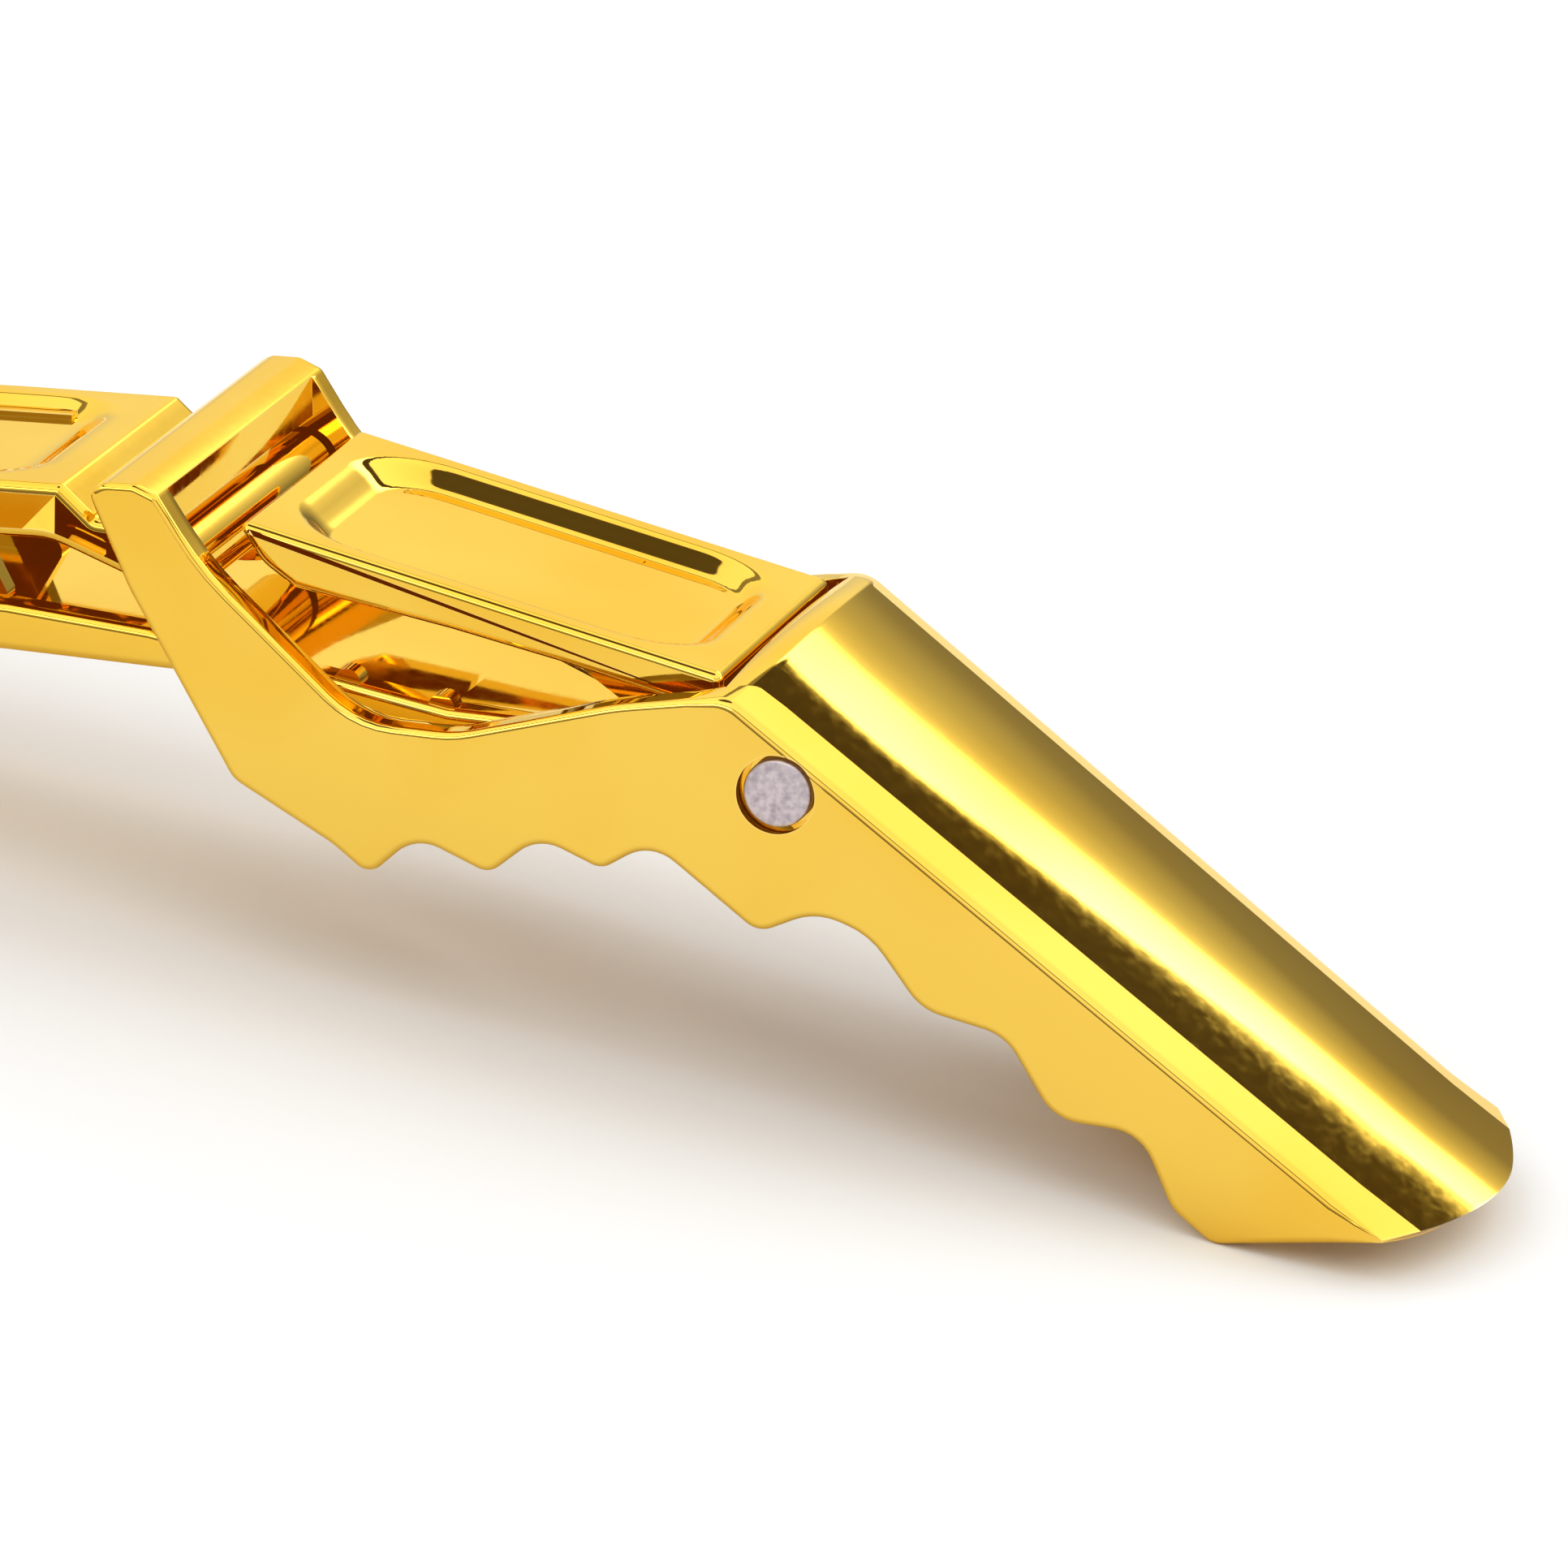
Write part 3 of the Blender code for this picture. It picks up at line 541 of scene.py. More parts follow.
@dataclass(frozen=True)
class CroppedSteel:
    """Mild steel rod, cropped to length and tumbled.

    The end is matt and grey with a trace of violet, mottled where the shear tore it.
    """

    name: str
    light: str = "#D0C4C6"
    dark: str = "#AA9DA4"
    roughness: float = 0.42
    grain: float = 0.35 * MM

    def material(self) -> bpy.types.Material:
        """Builds the material.

        Returns:
            The material.
        """
        made = bpy.data.materials.new(self.name)
        made.use_nodes = True
        tree = made.node_tree
        shader = tree.nodes["Principled BSDF"]
        place = add_node(tree, "ShaderNodeTexCoord").outputs["Object"]
        mottle = add_node(tree, "ShaderNodeTexNoise", {"Vector": place, "Scale": 1 / self.grain, "Detail": 6.0})
        tone = set_ramp(
            add_node(tree, "ShaderNodeValToRGB", {"Fac": mottle.outputs["Fac"]}),
            [(0.35, linear(self.dark)), (0.62, linear(self.light))],
        )
        rough = add_node(
            tree,
            "ShaderNodeMapRange",
            {"Value": mottle.outputs["Fac"], "To Min": self.roughness - 0.1, "To Max": self.roughness + 0.15},
        )
        bump = add_node(
            tree, "ShaderNodeBump", {"Height": mottle.outputs["Fac"], "Distance": 0.012 * MM, "Strength": 1.0}
        )
        tree.links.new(tone.outputs["Color"], shader.inputs["Base Color"])
        tree.links.new(rough.outputs["Result"], shader.inputs["Roughness"])
        tree.links.new(bump.outputs["Normal"], shader.inputs["Normal"])
        shader.inputs["Metallic"].default_value = 0.85
        return made


@dataclass(frozen=True)
class DrawnWire:
    """Spring steel wire, cold drawn.

    Drawing leaves a bright grey skin with fine lines along the wire and darker, oiled hollows.
    """

    name: str
    light: str = "#B9B7B3"
    dark: str = "#6F6C68"
    roughness: float = 0.28
    line: float = 0.12 * MM

    def material(self) -> bpy.types.Material:
        """Builds the material.

        Returns:
            The material.
        """
        made = bpy.data.materials.new(self.name)
        made.use_nodes = True
        tree = made.node_tree
        shader = tree.nodes["Principled BSDF"]
        place = add_node(tree, "ShaderNodeTexCoord").outputs["Object"]
        # The drawn lines are a few microns wide; they are drawn at a tenth of a millimetre so that they show.
        lines = add_node(tree, "ShaderNodeTexNoise", {"Vector": place, "Scale": 1 / self.line, "Detail": 3.0})
        tone = set_ramp(
            add_node(tree, "ShaderNodeValToRGB", {"Fac": lines.outputs["Fac"]}),
            [(0.3, linear(self.dark)), (0.6, linear(self.light))],
        )
        rough = add_node(
            tree,
            "ShaderNodeMapRange",
            {"Value": lines.outputs["Fac"], "To Min": self.roughness - 0.06, "To Max": self.roughness + 0.1},
        )
        bump = add_node(
            tree, "ShaderNodeBump", {"Height": lines.outputs["Fac"], "Distance": 0.01 * MM, "Strength": 1.0}
        )
        tree.links.new(tone.outputs["Color"], shader.inputs["Base Color"])
        tree.links.new(rough.outputs["Result"], shader.inputs["Roughness"])
        tree.links.new(bump.outputs["Normal"], shader.inputs["Normal"])
        shader.inputs["Metallic"].default_value = 1.0
        return made


# ---------------------------------------------------------------- sections across the width


@dataclass(frozen=True)
class Section:
    """How a surface runs across the clip's width at one point of a side outline.

    From the side face it rounds over, climbs a steeper outer facet to a crease, goes on up a nearly
    flat facet and then follows a crown.
    """

    round_width: float
    round_depth: float
    slope_edge: float = 0.0
    crease_inset: float = 0.0
    slope_out: float = 0.0
    slope_in: float = 0.0
    facet_start: float = 0.5

    def slope(self, y: float, crease: float) -> float:
        """Climb towards the middle at y, which is inside the rounding.

        Args:
            y: Distance from the middle of the width.
            crease: Where the outer facet ends.

        Returns:
            The slope.
        """
        if y > crease:
            return self.slope_edge
        share = y / crease
        if share < self.facet_start:
            return self.slope_in * share / self.facet_start
        run = (share - self.facet_start) / (1 - self.facet_start)
        return self.slope_in + (self.slope_out - self.slope_in) * run

    def row(self, half: float, round_steps: int, middle_steps: int) -> list[Point]:
        """Points from one side face to the other.

        Args:
            half: Half the width between the side faces.
            round_steps: Faces across each rounding.
            middle_steps: Faces between the roundings, an even number.

        Returns:
            Pairs of y and depth below the outline, from +half to -half.
        """
        last_turn = math.atan2(self.round_depth, self.round_width * self.slope_edge)
        rows: list[Point] = []
        for step in range(round_steps + 1):
            turn = last_turn * step / round_steps
            y = half - self.round_width * (1 - math.cos(turn))
            rows.append((y, self.round_depth * (1 - math.sin(turn))))
        edge, depth = rows[-1]
        crease = min(edge - 0.1 * MM, half - self.crease_inset)
        blur = 0.03 * MM
        inner_steps = middle_steps // 2 - 2
        spots = [crease + blur, crease - blur] + [
            (crease - blur) * (1 - step / inner_steps) for step in range(1, inner_steps + 1)
        ]
        here = edge
        for y in spots:
            depth -= (here - y) * self.slope(0.5 * (here + y), crease)
            rows.append((y, depth))
            here = y
        return rows + [(-y, drop) for y, drop in reversed(rows[:-1])]


def section_block(
    name: str,
    outline: Sequence[Point],
    half_width: Profile,
    section: Callable[[float, float], Section],
    push: Callable[[float, float], Vector],
    round_steps: int = 8,
    middle_steps: int = 40,
) -> bpy.types.Object:
    """Makes a body with flat side faces from a side outline and the section at each of its points.

    Args:
        name: The object's name.
        outline: Counterclockwise points (x, z).
        half_width: Half the width at x.
        section: The section at (x, z).
        push: Move of the middle of the width at (x, z), which fades to nothing at the sides.
        round_steps: Faces across each rounding.
        middle_steps: Faces between the roundings.

    Returns:
        The body.
    """
    points: list[tuple[float, float, float]] = []
    width = 0
    for (x, z), inward in zip(outline, inward_normals(outline)):
        half = half_width(x)
        row = section(x, z).row(half, round_steps, middle_steps)
        width = len(row)
        shove = push(x, z)
        for y, depth in row:
            spot = Vector((x, z)) + inward * depth + shove * (1 - (y / half) ** 2)
            points.append((spot.x, -y, spot.y))
    count = len(outline)
    faces: list[tuple[int, ...]] = [tuple(i * width for i in range(count))]
    faces.append(tuple(i * width + width - 1 for i in reversed(range(count))))
    for i in range(count):
        after = (i + 1) % count
        for j in range(width - 1):
            faces.append((i * width + j, i * width + j + 1, after * width + j + 1, after * width + j))
    return mesh_object(name, points, faces)


def no_push(x: float, z: float) -> Vector:
    """Leaves the middle of the width where it is."""
    return Vector((0.0, 0.0))


# ---------------------------------------------------------------- handle


@dataclass
class Handle:
    """Yoke handle: a sloping pad, two scalloped side plates, two arms and a crossbar."""

    place: ClipFrame
    bar_width: float = 20.0 * MM
    heel_width: float = 17.2 * MM
    wall: float = 1.4 * MM
    pad_wall: float = 1.0 * MM
    pad_slope: float = math.radians(37.7)
    pad_height: float = 1.85 * MM
    heel_x: float = 23.7 * MM
    rim_x: float = -2.3 * MM
    ridge_x: float = -1.8 * MM
    ridge_radius: float = 1.5 * MM
    bar_front_x: float = -27.3 * MM
    bar_rear_x: float = -24.5 * MM
    bar_top_z: float = 10.6 * MM
    bar_thickness: float = 2.0 * MM
    pad_round: float = 0.55 * MM
    crease_inset: float = 2.0 * MM
    facet_slope_edge: float = math.tan(math.radians(13.5))
    facet_slope_out: float = math.tan(math.radians(8.6))
    facet_slope_in: float = math.tan(math.radians(6.9))
    edge_round: float = 0.3 * MM
    inner_round: float = 0.16 * MM
    end_bulge: float = 1.6 * MM
    end_run: float = 9.0 * MM
    pin_hole_radius: float = 0.85 * MM
    counterbore_radius: float = 1.55 * MM
    counterbore_floor: float = 0.8 * MM
    knuckle_space: float = 1.45 * MM
    coil_space: float = 1.75 * MM
    jaw_pin_x: float = -25.0 * MM
    jaw_pin_z: float = 6.6 * MM
    jaw_pin_hole: float = 0.7 * MM
    jaw_pin_depth: float = 0.9 * MM
    reach: float = 40.0 * MM
    jaw_half: float = 7.0 * MM
    coil_half: float = 3.7 * MM
    body: Optional[bpy.types.Object] = field(default=None, init=False)

    def half_width(self, x: float) -> float:
        """Half the width at x: the side faces are flat and close in to the heel."""
        run = self.heel_x - self.bar_front_x
        return 0.5 * (self.bar_width + (self.heel_width - self.bar_width) * (x - self.bar_front_x) / run)

    def inner_half(self, x: float) -> float:
        """Half the space between the side walls at x."""
        return self.half_width(x) - self.wall

    def pad_point(self, x: float, height: float) -> Point:
        """Point at x on the line that lies this far above the pin's axis, square to the pad."""
        return (x, (height - math.sin(self.pad_slope) * x) / math.cos(self.pad_slope))

    def pad_height_of(self, x: float, z: float) -> float:
        """Distance of a point from the pin's axis, square to the pad."""
        return math.sin(self.pad_slope) * x + math.cos(self.pad_slope) * z

    def outline(self) -> list[Point]:
        """Side view, counterclockwise from the front of the crossbar.

        Returns:
            The outline's points.
        """
        ridge = self.pad_point(self.ridge_x, self.pad_height)
        heel = self.pad_point(self.heel_x, self.pad_height)
        front = (
            (self.bar_front_x / MM, self.bar_top_z / MM - 0.4, 0.5),
            (-25.7, 6.4, 6.0),
            (-21.7, -0.9, 1.2),
            (-17.8, -3.2, 4.0),
        )
        scallops = (
            (-16.3, -4.4, 0.7),
            (-14.4, -2.7, 1.6),
            (-11.5, -4.0, 0.8),
            (-9.5, -2.4, 1.6),
            (-7.0, -3.5, 0.8),
            (-5.0, -2.3, 2.2),
            (-0.8, -5.6, 1.0),
            (1.5, -4.6, 2.4),
            (3.6, -5.4, 3.0),
            (5.6, -8.2, 2.2),
            (8.9, -9.0, 2.0),
            (10.8, -12.2, 2.0),
            (14.2, -12.5, 1.8),
            (15.4, -15.4, 1.6),
            (17.0, -16.7, 1.0),
        )
        pad = (
            (heel[0] / MM, heel[1] / MM - 0.1, 0.04),
            (heel[0] / MM, heel[1] / MM, 0.0),
            (ridge[0] / MM, ridge[1] / MM, self.ridge_radius / MM),
        )
        arm_top = (
            (-6.3, 3.1, 12.0),
            (-12.8, 1.5, 5.0),
            (-16.7, 1.7, 4.0),
            (-22.8, 7.5, 12.0),
        )
        bar = (
            (self.bar_rear_x / MM, self.bar_top_z / MM - 0.4, 0.5),
            (-25.4, self.bar_top_z / MM, 0.5),
            (-26.6, self.bar_top_z / MM, 0.9),
        )
        corners = front + scallops + pad + arm_top + bar
        return split_runs(rounded([(x * MM, z * MM, r * MM) for x, z, r in corners]), 1.2 * MM)

    def section(self, x: float, z: float) -> Section:
        """Section at a point of the outline.

        Args:
            x: Place along the clip.
            z: Height.

        Returns:
            The pad's crowned section on the pad, a plain rounded one elsewhere, and a blend between.
        """
        depth = self.pad_height - self.pad_height_of(x, z)
        on_top = x > -5.5 * MM and depth < (2.0 * MM if x < 6 * MM else 0.05 * MM)
        share = eased((x + 3.6 * MM) / (2.6 * MM)) if on_top else 0.0
        distance = x * math.cos(self.pad_slope) - z * math.sin(self.pad_slope)
        facet = between(distance, 3 * MM, 24 * MM, 0.74, 0.39)
        tip = between(x, self.heel_x - 1.6 * MM, self.heel_x, 1.0, 0.08)
        plain = self.edge_round * tip
        return Section(
            plain + (self.pad_round * tip - plain) * share,
            plain + (self.pad_round * tip - plain) * share,
            self.facet_slope_edge * share,
            self.crease_inset * share,
            self.facet_slope_out * share,
            self.facet_slope_in * share,
            facet,
        )

    def push(self, x: float, z: float) -> Vector:
        """Bulge of the pad's end, in plan."""
        share = between(x, self.heel_x - self.end_run, self.heel_x, 0.0, 1.0) ** 2
        slope = Vector((math.cos(self.pad_slope), -math.sin(self.pad_slope)))
        return slope * (self.end_bulge * share)

    def hollow(self) -> bpy.types.Object:
        """Everything between the side walls but the crossbar and the pad.

        Returns:
            The cutter.
        """
        ceiling = self.pad_height - self.pad_wall
        far = self.heel_x + self.reach / 4
        bar_bottom = self.bar_top_z - self.bar_thickness
        outline = (
            (-self.reach, -self.reach),
            (far, -self.reach),
            self.pad_point(far, ceiling),
            self.pad_point(self.rim_x, ceiling),
            (self.rim_x, self.reach),
            (self.bar_rear_x, self.reach),
            (self.bar_rear_x, bar_bottom),
            (-self.reach, bar_bottom),
        )
        return slab("hollow", outline, lambda x: -self.inner_half(x), self.inner_half)

    def build(self) -> bpy.types.Object:
        """Builds the handle in the clip's own frame.

        Returns:
            The handle.
        """
        handle = section_block("handle_moulding", self.outline(), self.half_width, self.section, self.push)
        knuckle_reach = self.jaw_half + 0.2 * MM
        coil_reach = self.coil_half + 0.15 * MM
        seat = self.half_width(0.0) - self.counterbore_floor
        pin_end = self.inner_half(self.jaw_pin_x) + self.jaw_pin_depth
        jaw_hole = circle(self.jaw_pin_x, self.jaw_pin_z, self.jaw_pin_hole)
        bore = circle(0, 0, self.counterbore_radius)
        cuts = [
            self.hollow(),
            level_slab("knuckle_space", circle(0, 0, self.knuckle_space), -knuckle_reach, knuckle_reach),
            level_slab("coil_space", circle(0, 0, self.coil_space), -coil_reach, coil_reach),
            level_slab("pin_hole", circle(0, 0, self.pin_hole_radius), -self.reach, self.reach),
            level_slab("near_counterbore", bore, -self.reach, -seat),
            level_slab("far_counterbore", bore, seat, self.reach),
            level_slab("jaw_pin_holes", jaw_hole, -pin_end, pin_end),
        ]
        combine(handle, cuts, Solid.CUT)
        ease_edges(handle, self.inner_round, self.on_inner_rim)
        self.body = polish(handle)
        return handle

    def on_inner_rim(self, spot: Vector) -> bool:
        """Tells whether an edge belongs to the arms' inner rims, the crossbar or the pin holes.

        Args:
            spot: Middle of the edge.

        Returns:
            True if the edge is rounded.
        """
        inner = abs(abs(spot.y) - self.inner_half(spot.x)) < 0.03 * MM and spot.x < self.heel_x - 4 * MM
        bar_foot = abs(spot.z - self.bar_top_z + self.bar_thickness) < 0.03 * MM and spot.x < -23 * MM
        mouth = math.hypot(spot.x, spot.z) > self.counterbore_radius - 0.03 * MM
        on_side = abs(abs(spot.y) - self.half_width(spot.x)) < 0.03 * MM
        hole = on_side and mouth and math.hypot(spot.x, spot.z) < self.counterbore_radius + 0.03 * MM
        return inner or bar_foot or hole

    def dress(self, finish: bpy.types.Material) -> None:
        """Places the handle and gives it its finish."""
        mount(self.body, self.place, "handle", "handle", finish)


# ---------------------------------------------------------------- thumb lever


@dataclass
class ThumbLever:
    """Plate under the thumb, with a soft-walled dish in its top and two ears on the hinge pin."""

    place: ClipFrame
    half: float = 7.1 * MM
    wall: float = 1.3 * MM
    plate: float = 1.5 * MM
    front_x: float = -22.4 * MM
    front_z: float = 8.7 * MM
    rear_x: float = -2.8 * MM
    rear_z: float = 3.9 * MM
    edge_round: float = 0.38 * MM
    dish_depth: float = 0.75 * MM
    dish_side: float = 1.0 * MM
    dish_front: float = 1.3 * MM
    dish_rear: float = 1.2 * MM
    dish_wall: float = 1.35 * MM
    dish_corner: float = 3.4 * MM
    ear_outer: float = 5.5 * MM
    ear_width: float = 1.3 * MM
    knuckle: float = 1.25 * MM
    bore: float = 0.85 * MM
    reach: float = 40.0 * MM
    body: Optional[bpy.types.Object] = field(default=None, init=False)

    def fall(self) -> float:
        """Slope of the top face towards the pad."""
        return (self.front_z - self.rear_z) / (self.rear_x - self.front_x)

    def top(self, x: float) -> float:
        """Height of the top face at x."""
        return self.rear_z + (self.rear_x - x) * self.fall()

    def outline(self) -> list[Point]:
        """Side view, counterclockwise from the upper front corner.

        Returns:
            The outline's points.
        """
        corners = (
            (self.front_x, self.front_z, 0.25 * MM),
            (-21.3 * MM, 7.0 * MM, 2 * MM),
            (-20.0 * MM, 6.1 * MM, 0.5 * MM),
            (-13.7 * MM, 4.9 * MM, 6 * MM),
            (-9.2 * MM, 3.9 * MM, 6 * MM),
            (self.rear_x - 0.6 * MM, self.rear_z - self.plate, 0.3 * MM),
            (self.rear_x, self.rear_z - 0.7 * MM, 0.3 * MM),
            (self.rear_x, self.rear_z, 0.4 * MM),
        )
        return split_runs(rounded(corners), 0.28 * MM)

    def dish(self, x: float, y: float) -> float:
        """Depth of the dish under the top face.

        Args:
            x: Place along the clip.
            y: Place across it.

        Returns:
            The depth.
        """
        front = self.front_x + self.dish_front
        rear = self.rear_x - self.dish_rear
        half_length = 0.5 * (rear - front)
        half_width = self.half - self.dish_side
        out_x = abs(x - 0.5 * (front + rear)) - (half_length - self.dish_corner)
        out_y = abs(y) - (half_width - self.dish_corner)
        outside = math.hypot(max(out_x, 0.0), max(out_y, 0.0)) + min(max(out_x, out_y), 0.0)
        return self.dish_depth * eased((self.dish_corner - outside) / self.dish_wall)

    def ear_outline(self) -> list[Point]:
        """Side view of an ear: it hangs from the plate's rear and wraps the pin."""
        start, end, steps = math.radians(105), math.radians(-100), 28
        turns = [end + (start - end) * step / steps for step in range(steps + 1)]
        arc = [(self.knuckle * math.cos(turn), self.knuckle * math.sin(turn)) for turn in turns]
        inside = 0.5 * self.plate
        near_rear = self.rear_x - 1.0 * MM
        top_front = -9.5 * MM
        return [(-6.5 * MM, 1.6 * MM)] + arc + [
            (self.rear_x - 0.4 * MM, self.rear_z - self.plate),
            (near_rear, self.top(near_rear) - inside),
            (top_front, self.top(top_front) - inside),
            (top_front, self.top(top_front) - 1.8 * MM),
        ]

    def build(self) -> bpy.types.Object:
        """Builds the lever in the clip's own frame.

        Returns:
            The lever.
        """
        edge = Section(self.edge_round, self.edge_round)
        lever = section_block(
            "thumb_plate", self.outline(), lambda x: self.half, lambda x, z: edge, no_push, 6, 72
        )
        for corner in lever.data.vertices:
            x, y, z = corner.co
            if abs(z - self.top(x)) < 0.05 * MM and abs(y) < self.half - self.edge_round:
                corner.co.z = z - self.dish(x, y)
        behind = self.rear_x - self.plate
        ahead = self.front_x - self.reach
        hollow = [
            (ahead, -self.reach),
            (behind, -self.reach),
            (behind, self.top(behind) - self.plate),
            (ahead, self.top(ahead) - self.plate),
        ]
        inner = self.half - self.wall
        combine(lever, [level_slab("underside", hollow, -inner, inner)], Solid.CUT)
        ears = []
        for side in (-1, 1):
            near, far = sorted((side * self.ear_outer, side * (self.ear_outer - self.ear_width)))
            ears.append(level_slab(f"ear_{side}", self.ear_outline(), near, far))
        combine(lever, ears, Solid.JOIN)
        combine(lever, [level_slab("bore", circle(0, 0, self.bore), -self.reach, self.reach)], Solid.CUT)
        ease_edges(lever, 0.12 * MM, lambda spot: abs(abs(spot.y) - inner) < 0.03 * MM and spot.x < -10 * MM)
        self.body = polish(lever)
        return lever

    def dress(self, finish: bpy.types.Material) -> None:
        """Places the lever and gives it its finish."""
        mount(self.body, self.place, "lever", "thumb_lever", finish)


# ---------------------------------------------------------------- jaws


@dataclass
class Jaw:
    """What both jaws share: a channel that narrows to a rounded nose, with two rows of teeth inside."""

    place: ClipFrame
    half: float = 7.0 * MM
    nose_half: float = 4.5 * MM
    nose_x: float = -87.0 * MM
    nose_round: float = 4.0 * MM
    taper_x: float = -36.0 * MM
    wall: float = 1.3 * MM
    skin: float = 1.2 * MM
    corner: float = 0.4 * MM
    nose_solid: float = 4.5 * MM
    tooth_pitch: float = 4.0 * MM
    tooth_first_x: float = -33.0 * MM
    tooth_count: int = 12
    tooth_width: float = 0.9 * MM
    tooth_gap: float = 0.45 * MM
    reach: float = 40.0 * MM
    body: Optional[bpy.types.Object] = field(default=None, init=False)

    def half_width(self, x: float) -> float:
        """Half the jaw's width at x, with the nose rounded in plan."""
        half = between(x, self.taper_x, self.nose_x, self.half, self.nose_half)
        past = (self.nose_x + self.nose_round - x) / self.nose_round
        if past <= 0:
            return half
        return half - 0.75 * self.nose_round * (1 - math.sqrt(max(1 - past**2, 0.0)))

    def nose_stations(self) -> list[float]:
        """Places of the sections round the nose, closer together towards the tip."""
        angles = [4 + 86 * step / 10 for step in range(11)]
        return [self.nose_x + self.nose_round * (1 - math.cos(math.radians(angle))) for angle in angles]

    def shell(self, name: str, low: Profile, high: Profile, xs: Sequence[float], steps: int = 5) -> bpy.types.Object:
        """Makes a body along X through rounded rectangles.

        Args:
            name: The object's name.
            low: Height of the underside at x.
            high: Height of the top at x.
            xs: Places of the sections, from the nose on.
            steps: Faces across each rounded corner.

        Returns:
            The body.
        """
        points: list[tuple[float, float, float]] = []
        for x in xs:
            half, floor, top = self.half_width(x), low(x), high(x)
            radius = min(self.corner, 0.45 * (top - floor))
            for y, z, first in ((half, floor, -90), (half, top, 0), (-half, top, 90), (-half, floor, 180)):
                middle_y = y - math.copysign(radius, y)
                middle_z = z + radius if z == floor else z - radius
                for step in range(steps + 1):
                    turn = math.radians(first + 90 * step / steps)
                    points.append((x, middle_y + radius * math.cos(turn), middle_z + radius * math.sin(turn)))
        width = 4 * (steps + 1)
        last = (len(xs) - 1) * width
        ends: list[tuple[int, ...]] = [tuple(range(width))[::-1], tuple(range(last, last + width))]
        return mesh_object(name, points, ends + ring_faces(len(xs), width))

    def trough(self, name: str, low: Profile, high: Profile, xs: Sequence[float]) -> bpy.types.Object:
        """Makes the cutter that leaves the jaw's walls.

        Args:
            name: The object's name.
            low: Height of its underside at x.
            high: Height of its top at x.
            xs: Places of its sections.

        Returns:
            The cutter.
        """
        points: list[tuple[float, float, float]] = []
        for x in xs:
            half = self.half_width(x) - self.wall
            points += [(x, -half, low(x)), (x, half, low(x)), (x, half, high(x)), (x, -half, high(x))]
        last = 4 * (len(xs) - 1)
        ends: list[tuple[int, ...]] = [(3, 2, 1, 0), (last, last + 1, last + 2, last + 3)]
        return mesh_object(name, points, ends + ring_faces(len(xs), 4))

    def tooth_row(self, name: str, root: Profile, tip: Profile, inset: float, side: int) -> bpy.types.Object:
        """Makes one row of triangular teeth with blunt tips.

        Args:
            name: The object's name.
            root: Height of the teeth's foot at x.
            tip: Height of their tips at x.
            inset: Distance from the jaw's side face.
            side: -1 for the near row, 1 for the far one.

        Returns:
            The row.
        """
        upward = tip(self.tooth_first_x) > root(self.tooth_first_x)
        xs = [self.tooth_first_x - self.tooth_pitch * i for i in range(self.tooth_count + 1)]
        edge: list[Point] = []
        for x in reversed(xs):
            edge.append((x, root(x)))
            if x < self.tooth_first_x - 0.5 * self.tooth_pitch:
                middle = x + 0.5 * self.tooth_pitch
                blunt = 0.12 * MM
                edge += [(middle - blunt, tip(middle)), (middle + blunt, tip(middle))]
        back = -1.0 * MM if upward else 1.0 * MM
        outline = edge + [(x, root(x) + back) for x in xs]
        if upward:
            outline.reverse()
        far_side = [self.half_width, lambda x: self.half_width(x) - self.tooth_width]
        faces = [lambda x, f=f: side * (f(x) - inset) for f in far_side]
        near, far = (faces[1], faces[0]) if side > 0 else (faces[0], faces[1])
        return slab(name, outline, near, far)


